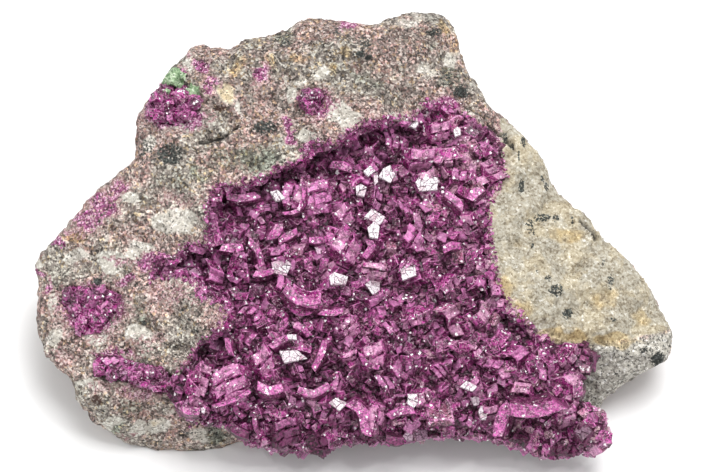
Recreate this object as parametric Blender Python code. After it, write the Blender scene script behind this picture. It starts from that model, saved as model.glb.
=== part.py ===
"""Cobaltoan dolomite specimen: a magenta crystal crust in a hollow of grey matrix rock.

The specimen lies on a flat base with its crystal face up, tilted towards the front.
Outlines and heights are given in a sloping front plane, the plane that a viewer sees who
looks down at the specimen from the front: u runs to the right, v runs up the plane, and w
stands out of it towards the viewer. All lengths below are in millimetres.
"""

import math
import random

import bmesh
import bpy
import numpy as np
from mathutils import Matrix, Vector, noise

MM = 0.001

# Front plane
VIEW_ELEVATION = math.radians(60)
AXIS_U = Vector((1, 0, 0))
AXIS_V = Vector((0, math.sin(VIEW_ELEVATION), math.cos(VIEW_ELEVATION)))
AXIS_W = Vector((0, -math.cos(VIEW_ELEVATION), math.sin(VIEW_ELEVATION)))
BASE_CENTRE = Vector((0.15, -7.47, 0.0))  # middle of the specimen's box, on its base

# Specimen
STONE_HEIGHT = 24.0  # of the crystal face above the base, along w at the middle
FACE_SLOPE = -0.268  # the crystal face falls back by this for each millimetre up the plane
OUTLINE_CENTRE = (4.4, -2.2)
OUTLINE = (
    (-25.0, 30.0), (-21.5, 29.3), (-18.7, 29.3), (-14.8, 31.0), (-12.3, 31.3), (-9.2, 32.9),
    (-7.3, 34.0), (-5.2, 34.1), (0.4, 33.3), (3.7, 33.2), (5.7, 34.1), (9.0, 34.9),
    (12.3, 35.2), (14.6, 35.1), (16.8, 32.7), (16.5, 31.0), (17.9, 26.3), (20.1, 23.5),
    (20.9, 21.3), (23.7, 18.3), (27.6, 14.9), (29.5, 12.5), (31.8, 7.2), (34.4, 5.0),
    (37.2, 2.7), (39.5, -0.6), (42.0, -3.0), (48.0, -10.6), (49.8, -14.2), (50.2, -17.5),
    (49.7, -19.6), (46.1, -21.1), (42.5, -23.2), (39.0, -25.7), (38.3, -29.5), (38.5, -31.2),
    (36.0, -32.4), (30.3, -33.0), (27.0, -32.0), (23.4, -30.6), (18.9, -29.8), (10.7, -30.1),
    (4.3, -30.6), (-2.9, -31.3), (-6.5, -33.2), (-10.1, -34.3), (-15.3, -34.9), (-19.8, -33.6),
    (-23.1, -34.6), (-26.8, -34.0), (-31.4, -33.8), (-35.9, -31.6), (-40.9, -27.9),
    (-42.6, -25.7), (-43.7, -22.2), (-46.7, -20.2), (-48.9, -16.1), (-49.2, -13.1),
    (-48.9, -6.6), (-50.0, -4.1), (-46.7, -0.8), (-44.1, 1.7), (-40.9, 6.3), (-38.4, 8.3),
    (-33.7, 11.7), (-33.6, 15.8), (-33.9, 17.8), (-32.0, 21.4), (-30.0, 23.9),
    (-29.3, 25.5), (-26.7, 27.5),
)

# Broken faces of the rock: a point on each face's upper edge, the way it falls, its height
# above the crystal face at that edge, and its fall in millimetres per millimetre
ROCK_FACES = (
    ("plateau round the hollow", (0.0, 20.0), (0.0, 1.0), 4.5, 0.03),
    ("left flank", (-22.0, 0.0), (-0.95, -0.30), 4.5, 0.36),
    ("lower left wall", (-27.0, -26.5), (-0.32, -0.95), 1.6, 1.75),
    ("cream face on the right", (20.0, 4.0), (0.91, 0.42), 0.8, 0.42),
    ("fresh break at the lower right", (38.0, -16.5), (0.10, -0.99), -2.5, 1.0),
    ("back edge", (0.0, 31.0), (-0.10, 0.99), 4.0, 0.9),
    ("front edge under the crystals", (15.0, -28.6), (0.05, -1.0), -3.4, 1.5),
)
FACE_BLEND = 0.7
EDGE_ROUND = 1.6
EDGE_ROUND_START = 0.94
SIDE_FALL = 2.4  # millimetres that the hidden sides drop for each millimetre inwards
FRONT_SIDE_FALL = 8.0
LUMP_HEIGHT = 1.7
LUMP_SIZE = 11.0
BUMP_HEIGHT = 0.85
BUMP_SIZE = 4.2
LEDGE_HEIGHT = 1.0
LEDGE_STEP = 5.5
BELOW_BASE = -2.0
ROCK_KEPT_FACES = 0.19
ROCK_PITS = (  # place, radius, depth
    ((-20.3, 19.8), 1.6, 1.3),
    ((-37.6, 1.4), 1.2, 1.0),
    ((-23.5, 14.4), 1.4, 0.7),
    ((-19.6, 15.6), 1.6, 0.9),
    ((29.0, 15.0), 1.4, 0.6),
    ((27.0, -2.0), 1.8, 0.7),
    ((15.0, 27.5), 2.2, 0.8),
)

# Hollow and its crystal crust
FIELD_ROCK_SIDE = (
    (-6.5, -33.3), (-12.0, -32.6), (-16.5, -31.3), (-19.0, -29.1), (-23.7, -28.0),
    (-26.4, -27.2), (-26.1, -25.4), (-28.2, -24.1), (-26.5, -21.3), (-24.8, -19.4),
    (-23.9, -17.7), (-19.8, -13.6), (-18.9, -12.1), (-21.0, -10.0), (-23.6, -9.2),
    (-24.0, -6.9), (-27.3, -5.8), (-30.9, -6.3), (-30.4, -3.3), (-27.8, -3.6), (-25.6, -1.6),
    (-22.3, -1.4), (-22.1, 1.7), (-22.3, 4.9), (-20.9, 7.4), (-17.3, 7.8), (-13.4, 9.2),
    (-7.7, 11.7), (-5.6, 14.6), (-2.7, 13.8), (0.5, 16.6), (3.7, 18.0), (9.3, 18.0),
    (12.3, 20.7), (16.0, 19.6), (20.7, 16.3), (23.1, 13.1), (23.4, 9.4), (21.0, 4.9),
    (21.7, -3.4), (22.5, -8.1), (25.1, -11.3), (27.9, -14.6), (32.0, -17.7), (35.8, -17.2),
    (37.0, -18.8), (35.9, -20.8), (34.7, -24.9), (36.7, -27.4), (38.9, -27.9),
)
FIELD_OPEN_SIDE = (
    (38.9, -29.9), (39.5, -32.3), (36.5, -33.3), (30.3, -33.9), (27.0, -32.8), (23.4, -31.4),
    (18.9, -30.6), (10.7, -30.9), (4.3, -31.4), (-2.9, -32.1),
)
OPEN_SIDE_CLEARANCE = 6.0
CRUST_GAP = 0.3
CRUST_THICKNESS = 3.0
CRUST_SINK = 1.9  # of the crust's surface between its crystals, below the crystal face
CRUST_WAVES = 0.9
CRUST_WAVE_SIZE = 8.0
FRONT_ROLL_START = -27.0
FRONT_ROLL = 0.75
CRUST_MESH = 4.0
FLOOR_MESH = 1.6  # size of the hollow floor's faces against those of the crust

# Crystals that stand out, as (u, v, length, breadth, heading in degrees, lean in degrees).
# A lean near 0 shows the crystal's broad face and one near 90 shows it edge on.
MAIN_CRYSTALS = (
    (-17.0, 6.3, 4.8, 2.6, 8, 60), (-6.6, 5.8, 4.6, 3.6, 70, 20), (-1.8, 11.0, 3.8, 2.4, -5, 65),
    (0.2, 8.4, 3.0, 1.9, 50, 60), (-9.0, 6.0, 4.2, 3.4, 80, 25), (-5.3, 5.9, 4.6, 4.0, 15, 12),
    (-5.6, -0.5, 3.2, 1.8, 30, 62), (-3.1, -0.4, 2.9, 2.0, 60, 60), (-1.2, 2.9, 3.0, 2.5, 45, 20),
    (-18.5, -1.9, 3.9, 2.0, -6, 62), (-14.8, -1.7, 3.0, 2.2, 50, 55), (-0.8, -1.9, 4.4, 3.8, 60, 22),
    (-13.6, -6.1, 3.4, 1.9, -8, 65), (2.9, -2.0, 3.8, 2.2, 80, 55), (-6.9, -4.4, 2.8, 1.9, 70, 60),
    (3.4, -5.3, 4.3, 2.3, -10, 25), (-2.8, -11.8, 3.2, 1.8, 10, 62), (-11.1, -14.2, 3.6, 2.1, -40, 60),
    (-7.9, -14.6, 3.4, 2.3, 35, 40), (-10.9, -17.5, 3.2, 2.1, 30, 50), (-5.2, -18.3, 4.9, 2.2, 62, 62),
    (-7.6, -10.1, 4.6, 3.2, -12, 50), (-15.7, -16.3, 3.0, 1.9, 50, 60), (-19.0, -16.3, 4.2, 2.2, 80, 60),
    (-0.4, -14.2, 3.2, 2.4, 40, 25), (3.3, -18.9, 3.9, 3.1, 20, 15), (-13.8, -19.6, 3.6, 3.1, 40, 25),
    (-19.0, -23.2, 5.8, 4.6, 25, 14), (-23.8, -23.2, 4.8, 2.9, 75, 35), (-12.6, -24.0, 4.6, 3.0, -8, 35),
    (-5.7, -24.5, 5.2, 3.0, -10, 40), (2.0, -24.6, 5.2, 2.8, 5, 60), (3.2, -28.4, 5.2, 3.2, 78, 45),
    (7.9, -27.7, 4.4, 2.7, 5, 62), (6.8, -30.4, 3.2, 2.4, 30, 50), (-1.3, -27.8, 3.2, 2.6, 20, 25),
    (-10.2, -30.2, 4.4, 3.4, 20, 25), (-17.6, -27.2, 3.4, 2.5, 10, 55), (-24.8, -27.1, 3.4, 2.0, 30, 62),
    (-16.9, -30.4, 3.0, 2.1, -20, 55), (13.4, -28.0, 4.0, 2.4, 5, 65), (23.4, -28.4, 5.8, 3.6, 58, 42),
    (28.2, -26.8, 7.4, 3.8, 4, 38), (33.0, -27.9, 3.4, 2.4, 20, 30), (35.9, -30.4, 3.0, 2.4, 60, 20),
    (15.9, 5.0, 3.4, 2.3, -48, 60), (15.7, -1.6, 3.6, 2.0, 10, 62), (19.7, 6.6, 3.2, 2.3, 40, 55),
    (15.6, 17.6, 3.0, 2.2, 70, 50), (13.5, 16.3, 3.8, 2.5, 10, 30), (10.6, 12.1, 4.8, 3.0, 0, 30),
    (9.9, -12.7, 3.4, 2.6, 20, 35), (14.7, -7.8, 3.0, 2.4, 40, 30), (6.1, 9.2, 3.2, 2.3, 30, 20),
    (3.0, 10.3, 3.0, 2.2, 60, 30), (8.8, -5.4, 3.2, 2.2, 30, 20), (11.6, 8.4, 3.4, 2.6, 20, 18),
    (19.0, -23.4, 2.8, 2.0, 50, 30), (21.3, -27.6, 2.8, 2.1, 10, 25), (10.4, -25.4, 3.0, 2.2, 35, 20),
)
FILL_TRIES = 900
FILL_SPACING = 3.5
FILL_LENGTH = (2.3, 3.4)
FILL_SEED = 17
CRYSTAL_DEPTH = 3.0  # of a crystal into the crust, for one 3 mm long
CRYSTAL_SKEW = 0.24  # sideways lean of each face, the slant of a dolomite rhomb
CRYSTAL_STAND = 0.35  # of a crystal's centre above the crust's surface, in lengths

# Small crusts: outline, and crystals as for the hollow
LEFT_VEIN = (
    (-45.0, -7.8), (-40.5, -8.0), (-36.4, -8.4), (-35.9, -10.6), (-37.8, -12.6), (-39.4, -15.2),
    (-43.0, -15.4), (-42.6, -12.6), (-44.9, -10.9),
)
LOWER_LEFT = (
    (-39.9, -19.0), (-35.5, -18.7), (-32.4, -20.0), (-28.4, -21.0), (-26.9, -23.2),
    (-29.8, -24.2), (-33.2, -22.9), (-37.6, -22.3), (-40.0, -21.2),
)
UPPER_LEFT = (
    (-32.0, 20.8), (-29.3, 23.2), (-26.2, 23.4), (-23.3, 21.2), (-24.6, 18.2), (-28.1, 17.4),
    (-31.6, 18.4),
)
UPPER_POCKET = ((-7.9, 22.2), (-5.0, 22.8), (-4.6, 20.2), (-6.2, 18.9), (-8.0, 19.9))
SMALL_CRUST_DEPTH = 1.4
SMALL_CRUST_RISE = 0.15
SMALL_CRUST_MESH = 2.2
SMALL_CRYSTAL_LENGTH = (1.5, 2.3)
SMALL_CRYSTAL_SPACING = 1.8
SMALL_CRYSTAL_TRIES = 90

PRISM_REACH = 45.0  # half height of the prisms that cut outlines, along w


def smooth_step(x):
    x = min(max(x, 0.0), 1.0)
    return x * x * (3 - 2 * x)


def world(u, v, w):
    """A place in the front plane's directions, in millimetres, as a point of the part."""
    return (AXIS_U * u + AXIS_V * v + AXIS_W * w - BASE_CENTRE) * MM


def crystal_plane(v):
    return STONE_HEIGHT + FACE_SLOPE * v


def rock_noise(u, v, w):
    here = Vector((u, v, w))
    lumps = noise.fractal(here / LUMP_SIZE, 1.0, 2.0, 3) * LUMP_HEIGHT
    bumps = noise.ridged_multi_fractal(here / BUMP_SIZE, 1.0, 2.1, 2, 1.0, 2.0) - 1.1
    return lumps + bumps * BUMP_HEIGHT


def rock_front(u, v):
    """Height of the rock's front surface along w: its broken faces, blended, with ledges."""
    total = 0.0
    for _, edge, way, lift, fall in ROCK_FACES:
        past_edge = (u - edge[0]) * way[0] + (v - edge[1]) * way[1]
        total += math.exp(-(lift - fall * past_edge) / FACE_BLEND)
    height = -FACE_BLEND * math.log(total)
    bend = noise.noise(Vector((u, v, 3.0)) / LUMP_SIZE) * LEDGE_STEP
    step = (0.5 * u + v + 2.2 * height + bend) / LEDGE_STEP
    height += LEDGE_HEIGHT * (smooth_step((step - math.floor(step)) * 1.6) - 0.5)
    for place, radius, depth in ROCK_PITS:
        away = math.hypot(u - place[0], v - place[1]) / radius
        height -= depth * math.exp(-away * away)
    return crystal_plane(v) + height + rock_noise(u, v, 0.0)


def outline_radius(angle):
    """Distance of the outline from its centre in each direction."""
    angles = []
    radii = []
    for u, v in OUTLINE:
        du = u - OUTLINE_CENTRE[0]
        dv = v - OUTLINE_CENTRE[1]
        angles.append(math.atan2(dv, du))
        radii.append(math.hypot(du, dv))
    order = np.argsort(angles)
    return float(np.interp(angle, np.array(angles)[order], np.array(radii)[order], period=2 * math.pi))


def crust_surface(u, v):
    """Height of the crust between its crystals: wavy, and rolling down to the front edge."""
    waves = noise.noise(Vector((u, v, 20.0)) / CRUST_WAVE_SIZE) * CRUST_WAVES
    roll = max(0.0, FRONT_ROLL_START - v) * FRONT_ROLL
    return crystal_plane(v) - CRUST_SINK + waves - roll


def new_object(name, mesh_maker, collection):
    mesh = bpy.data.meshes.new(name)
    solid = bmesh.new()
    mesh_maker(solid)
    bmesh.ops.recalc_face_normals(solid, faces=solid.faces)
    if solid.calc_volume(signed=True) < 0:
        bmesh.ops.reverse_faces(solid, faces=solid.faces)
    solid.to_mesh(mesh)
    solid.free()
    made = bpy.data.objects.new(name, mesh)
    collection.objects.link(made)
    return made


def make_cutter(made):
    made.hide_render = True
    made.display_type = "WIRE"
    return made


def add_boolean(target, operation, cutter, crossing=False):
    modifier = target.modifiers.new(operation.title() + " " + cutter.name, "BOOLEAN")
    modifier.operation = operation
    modifier.object = cutter
    modifier.solver = "EXACT"
    modifier.use_self = crossing


def add_material(target, name, colour, roughness, metallic=0.0):
    material = bpy.data.materials.new(name)
    material.use_nodes = True
    shader = material.node_tree.nodes["Principled BSDF"]
    shader.inputs["Base Color"].default_value = (*colour, 1)
    shader.inputs["Roughness"].default_value = roughness
    shader.inputs["Metallic"].default_value = metallic
    target.data.materials.append(material)


def rock_lump(solid):
    """A ball pulled out to the outline, its front half to the broken faces and its back half
    to the hidden sides."""
    bmesh.ops.create_icosphere(solid, subdivisions=6, radius=1.0)
    for vert in solid.verts:
        across = math.hypot(vert.co.x, vert.co.y)
        angle = math.atan2(vert.co.y, vert.co.x)
        from_pole = math.atan2(across, abs(vert.co.z)) / (math.pi / 2)
        share = 0.5 * (from_pole + math.sin(from_pole * math.pi / 2))
        radius = outline_radius(angle)
        u = OUTLINE_CENTRE[0] + radius * share * math.cos(angle)
        v = OUTLINE_CENTRE[1] + radius * share * math.sin(angle)
        rounding = max(0.0, (share - EDGE_ROUND_START) / (1 - EDGE_ROUND_START))
        if vert.co.z >= 0:
            w = rock_front(u, v) - EDGE_ROUND * (1 - math.sqrt(1 - rounding**2))
        else:
            rim_u = OUTLINE_CENTRE[0] + radius * math.cos(angle)
            rim_v = OUTLINE_CENTRE[1] + radius * math.sin(angle)
            inwards = radius * (1 - share)
            front = max(0.0, -math.sin(angle)) ** 2
            fall = SIDE_FALL * (1 - front) + FRONT_SIDE_FALL * front
            w = rock_front(rim_u, rim_v) - EDGE_ROUND - fall * inwards
            w += rock_noise(u, v, w) * smooth_step(inwards / 2.5) * 1.3
        place = world(u, v, w)
        place.z = max(place.z, BELOW_BASE * MM)
        vert.co = place


def outline_prism(points, inset):
    """A prism on an outline, along w, with its sides drawn in by the inset."""

    def make(solid):
        corners = [solid.verts.new((u, v, -PRISM_REACH)) for u, v in points]
        face = solid.faces.new(corners)
        face.normal_update()
        if inset:
            rim = bmesh.ops.inset_region(
                solid, faces=[face], thickness=inset, use_even_offset=True, use_boundary=True
            )
            bmesh.ops.delete(solid, geom=rim["faces"], context="FACES")
        grown = bmesh.ops.extrude_face_region(solid, geom=solid.faces[:])["geom"]
        raised = [item for item in grown if isinstance(item, bmesh.types.BMVert)]
        bmesh.ops.translate(solid, verts=raised, vec=(0, 0, 2 * PRISM_REACH))
        for vert in solid.verts:
            vert.co = world(*vert.co)

    return make


def wavy_block(points, top, bottom, spacing):
    """A block over an outline's box, with a top and a bottom that follow two height rules."""

    def make(solid):
        low_u = min(u for u, _ in points) - 2
        low_v = min(v for _, v in points) - 2
        wide = max(u for u, _ in points) + 2 - low_u
        tall = max(v for _, v in points) + 2 - low_v
        steps_u = max(2, round(wide / spacing))
        steps_v = max(2, round(tall / spacing))
        bmesh.ops.create_grid(solid, x_segments=steps_u, y_segments=steps_v, size=0.5)
        grown = bmesh.ops.extrude_face_region(solid, geom=solid.faces[:])["geom"]
        raised = {item for item in grown if isinstance(item, bmesh.types.BMVert)}
        for vert in solid.verts:
            u = low_u + (vert.co.x + 0.5) * wide
            v = low_v + (vert.co.y + 0.5) * tall
            w = top(u, v) if vert in raised else bottom(u, v)
            vert.co = world(u, v, w)
        bmesh.ops.triangulate(solid, faces=solid.faces[:], quad_method="FIXED")

    return make


def add_rhomb(solid, u, v, surface, length, breadth, heading, lean, turn):
    """One rhombohedral crystal: a skewed block set into the crust."""
    depth = CRYSTAL_DEPTH * length / 3.0
    skewed = Matrix.Identity(4)
    skewed[0][1] = CRYSTAL_SKEW
    skewed[1][2] = CRYSTAL_SKEW
    skewed[0][2] = CRYSTAL_SKEW * 0.5
    size = Matrix.Diagonal((length, breadth, depth * 0.8, 1))
    tipped = Matrix.Rotation(math.radians(turn), 4, "Y") @ Matrix.Rotation(math.radians(lean), 4, "X")
    headed = Matrix.Rotation(math.radians(heading), 4, "Z")
    centre = surface(u, v) + CRYSTAL_STAND * breadth
    made = bmesh.ops.create_cube(solid, size=1.0, matrix=headed @ tipped @ skewed @ size)["verts"]
    for vert in made:
        vert.co = world(vert.co.x + u, vert.co.y + v, vert.co.z + centre)


def inside(points, u, v):
    """Whether a place lies inside an outline."""
    crossings = 0
    for (u0, v0), (u1, v1) in zip(points, points[1:] + points[:1]):
        if (v0 > v) != (v1 > v) and u < u0 + (v - v0) * (u1 - u0) / (v1 - v0):
            crossings += 1
    return crossings % 2 == 1


def scattered(points, taken, tries, spacing, chance):
    """Seeded random places inside an outline that keep their distance from each other."""
    low_u = min(u for u, _ in points)
    high_u = max(u for u, _ in points)
    low_v = min(v for _, v in points)
    high_v = max(v for _, v in points)
    places = list(taken)
    found = []
    for _ in range(tries):
        u = chance.uniform(low_u, high_u)
        v = chance.uniform(low_v, high_v)
        if not inside(points, u, v):
            continue
        if min((math.hypot(u - a, v - b) for a, b in places), default=spacing) >= spacing:
            places.append((u, v))
            found.append((u, v))
    return found


def field_crystals(points):
    def make(solid):
        chance = random.Random(FILL_SEED)
        for u, v, length, breadth, heading, lean in MAIN_CRYSTALS:
            add_rhomb(solid, u, v, crust_surface, length, breadth, heading, lean, 0)
        taken = [(crystal[0], crystal[1]) for crystal in MAIN_CRYSTALS]
        for u, v in scattered(points, taken, FILL_TRIES, FILL_SPACING, chance):
            length = chance.uniform(*FILL_LENGTH)
            breadth = length * chance.uniform(0.6, 0.9)
            heading = chance.uniform(0, 180)
            lean = chance.uniform(10, 70)
            turn = chance.uniform(-25, 25)
            add_rhomb(solid, u, v, crust_surface, length, breadth, heading, lean, turn)

    return make


def small_crystals(points, surface, seed):
    def make(solid):
        chance = random.Random(seed)
        places = scattered(points, [], SMALL_CRYSTAL_TRIES, SMALL_CRYSTAL_SPACING, chance)
        for u, v in places:
            length = chance.uniform(*SMALL_CRYSTAL_LENGTH)
            heading = chance.uniform(0, 180)
            lean = chance.uniform(10, 70)
            add_rhomb(solid, u, v, surface, length, length * 0.75, heading, lean, 0)

    return make


def far_above(u, v):
    return crystal_plane(v) + PRISM_REACH / 2


def outlined_block(name, points, inset, top, bottom, spacing, cutters, collection):
    """A wavy block cut to an outline."""
    block = new_object(name, wavy_block(points, top, bottom, spacing), collection)
    outline = new_object(name + "_outline", outline_prism(points, inset), cutters)
    add_boolean(block, "INTERSECT", make_cutter(outline))
    return block


def make_crust(name, bed_points, room_points, surface, depth, spacing, crystals, rock, parts, cutters):
    """A crust in the rock: a bed with its crystals joined to it, kept to the room in its hollow.

    The hollow is a gap larger all round than the room."""

    def bed_bottom(u, v):
        return surface(u, v) - depth

    def hollow_floor(u, v):
        return surface(u, v) - depth - CRUST_GAP

    def below_bed(u, v):
        return surface(u, v) - depth - CRUST_GAP * 3

    floor_mesh = spacing * FLOOR_MESH
    hollow = outlined_block(
        name + "_hollow", room_points, 0, far_above, hollow_floor, floor_mesh, cutters, cutters
    )
    add_boolean(rock, "DIFFERENCE", make_cutter(hollow))
    room = outlined_block(
        name + "_room", room_points, CRUST_GAP, far_above, bed_bottom, floor_mesh, cutters, cutters
    )
    crust = outlined_block(name, bed_points, CRUST_GAP * 1.5, surface, below_bed, spacing, cutters, parts)
    crystal_block = new_object(name + "_crystals", crystals, cutters)
    add_boolean(crust, "UNION", make_cutter(crystal_block), crossing=True)
    add_boolean(crust, "INTERSECT", make_cutter(room))
    add_material(crust, "magenta_dolomite", (0.30, 0.03, 0.19), 0.28)


def make_field(rock, parts, cutters):
    bed_points = FIELD_ROCK_SIDE + FIELD_OPEN_SIDE
    open_side = tuple((u, v - OPEN_SIDE_CLEARANCE) for u, v in FIELD_OPEN_SIDE)
    shoulder = FIELD_ROCK_SIDE[-1][0] + OPEN_SIDE_CLEARANCE
    room_points = FIELD_ROCK_SIDE + ((shoulder, -29.0),) + open_side
    make_crust(
        "dolomite_crystal_field", bed_points, room_points, crust_surface, CRUST_THICKNESS, CRUST_MESH,
        field_crystals(bed_points), rock, parts, cutters,
    )


def make_small_crust(name, points, seed, rock, parts, cutters):
    def surface(u, v):
        return rock_front(u, v) + SMALL_CRUST_RISE

    make_crust(
        name, points, points, surface, SMALL_CRUST_DEPTH, SMALL_CRUST_MESH,
        small_crystals(points, surface, seed), rock, parts, cutters,
    )


def make_rock(parts, cutters):
    """The matrix, thinned to the faces its shape needs and cut off flat at the base."""
    rock = new_object("matrix_rock", rock_lump, parts)
    thinning = rock.modifiers.new("Thin faces", "DECIMATE")
    thinning.ratio = ROCK_KEPT_FACES

    def ground(solid):
        side = 300 * MM
        bmesh.ops.create_cube(solid, size=side, matrix=Matrix.Translation((0, 0, -side / 2)))

    add_boolean(rock, "DIFFERENCE", make_cutter(new_object("base_cut", ground, cutters)))
    add_material(rock, "grey_matrix", (0.42, 0.37, 0.33), 0.85)
    return rock


def main():
    for old in list(bpy.data.objects):
        bpy.data.objects.remove(old)
    parts = bpy.data.collections.new("cobaltoan_dolomite_specimen")
    cutters = bpy.data.collections.new("cutters")
    bpy.context.scene.collection.children.link(parts)
    bpy.context.scene.collection.children.link(cutters)
    rock = make_rock(parts, cutters)
    make_field(rock, parts, cutters)
    make_small_crust("left_vein_druse", LEFT_VEIN, 3, rock, parts, cutters)
    make_small_crust("lower_left_druse", LOWER_LEFT, 4, rock, parts, cutters)
    make_small_crust("upper_left_druse", UPPER_LEFT, 5, rock, parts, cutters)
    make_small_crust("upper_pocket_druse", UPPER_POCKET, 6, rock, parts, cutters)


main()
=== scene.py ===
"""Looks of the cobaltoan dolomite specimen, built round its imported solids.

Outlines, places and heights are in millimetres in the specimen's sloping front plane, as in
the part's own source: u runs to the right, v up the plane, and w out of it to the viewer.
"""

import math
import random

import bmesh
import bpy
import numpy as np
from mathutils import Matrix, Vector, noise
from mathutils.geometry import delaunay_2d_cdt


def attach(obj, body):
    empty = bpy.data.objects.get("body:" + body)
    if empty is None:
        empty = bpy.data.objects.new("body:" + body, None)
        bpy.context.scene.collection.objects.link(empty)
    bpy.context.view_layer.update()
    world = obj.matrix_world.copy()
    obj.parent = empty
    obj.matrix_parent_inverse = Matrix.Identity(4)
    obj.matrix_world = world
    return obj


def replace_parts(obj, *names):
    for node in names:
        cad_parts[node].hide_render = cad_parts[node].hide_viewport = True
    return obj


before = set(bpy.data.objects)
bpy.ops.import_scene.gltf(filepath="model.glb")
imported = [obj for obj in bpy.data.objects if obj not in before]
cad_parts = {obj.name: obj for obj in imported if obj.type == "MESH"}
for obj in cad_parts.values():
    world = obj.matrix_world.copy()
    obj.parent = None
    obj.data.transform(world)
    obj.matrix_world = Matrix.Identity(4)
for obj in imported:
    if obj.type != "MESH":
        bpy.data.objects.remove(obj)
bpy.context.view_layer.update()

# Noise vectors start from the clock unless they have a seed
NOISE_SEED = 7
noise.seed_set(NOISE_SEED)

MM = 0.001
BODY = "root"

# Front plane, as in the part's source
VIEW_ELEVATION = math.radians(60)
AXIS_U = (1.0, 0.0, 0.0)
AXIS_V = (0.0, math.sin(VIEW_ELEVATION), math.cos(VIEW_ELEVATION))
AXIS_W = (0.0, -math.cos(VIEW_ELEVATION), math.sin(VIEW_ELEVATION))
AXES = np.array((AXIS_U, AXIS_V, AXIS_W))
BASE_CENTRE = np.array((0.15, -7.47, 0.0))

# Crust in the wide hollow, as in the part's source
STONE_HEIGHT = 24.0
FACE_SLOPE = -0.268
FIELD = (
    (-6.5, -33.3), (-12.0, -32.6), (-16.5, -31.3), (-19.0, -29.1), (-23.7, -28.0),
    (-26.4, -27.2), (-26.1, -25.4), (-28.2, -24.1), (-26.5, -21.3), (-24.8, -19.4),
    (-23.9, -17.7), (-19.8, -13.6), (-18.9, -12.1), (-21.0, -10.0), (-23.6, -9.2),
    (-24.0, -6.9), (-27.3, -5.8), (-30.9, -6.3), (-30.4, -3.3), (-27.8, -3.6), (-25.6, -1.6),
    (-22.3, -1.4), (-22.1, 1.7), (-22.3, 4.9), (-20.9, 7.4), (-17.3, 7.8), (-13.4, 9.2),
    (-7.7, 11.7), (-5.6, 14.6), (-2.7, 13.8), (0.5, 16.6), (3.7, 18.0), (9.3, 18.0),
    (12.3, 20.7), (16.0, 19.6), (20.7, 16.3), (23.1, 13.1), (23.4, 9.4), (21.0, 4.9),
    (21.7, -3.4), (22.5, -8.1), (25.1, -11.3), (27.9, -14.6), (32.0, -17.7), (35.8, -17.2),
    (37.0, -18.8), (35.9, -20.8), (34.7, -24.9), (36.7, -27.4), (38.9, -27.9),
    (38.9, -29.9), (39.5, -32.3), (36.5, -33.3), (30.3, -33.9), (27.0, -32.8), (23.4, -31.4),
    (18.9, -30.6), (10.7, -30.9), (4.3, -31.4), (-2.9, -32.1),
)
CRUST_THICKNESS = 3.0
CRUST_SINK = 1.9
CRUST_WAVES = 0.9
CRUST_WAVE_SIZE = 8.0
FRONT_ROLL_START = -27.0
FRONT_ROLL = 0.75

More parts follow.
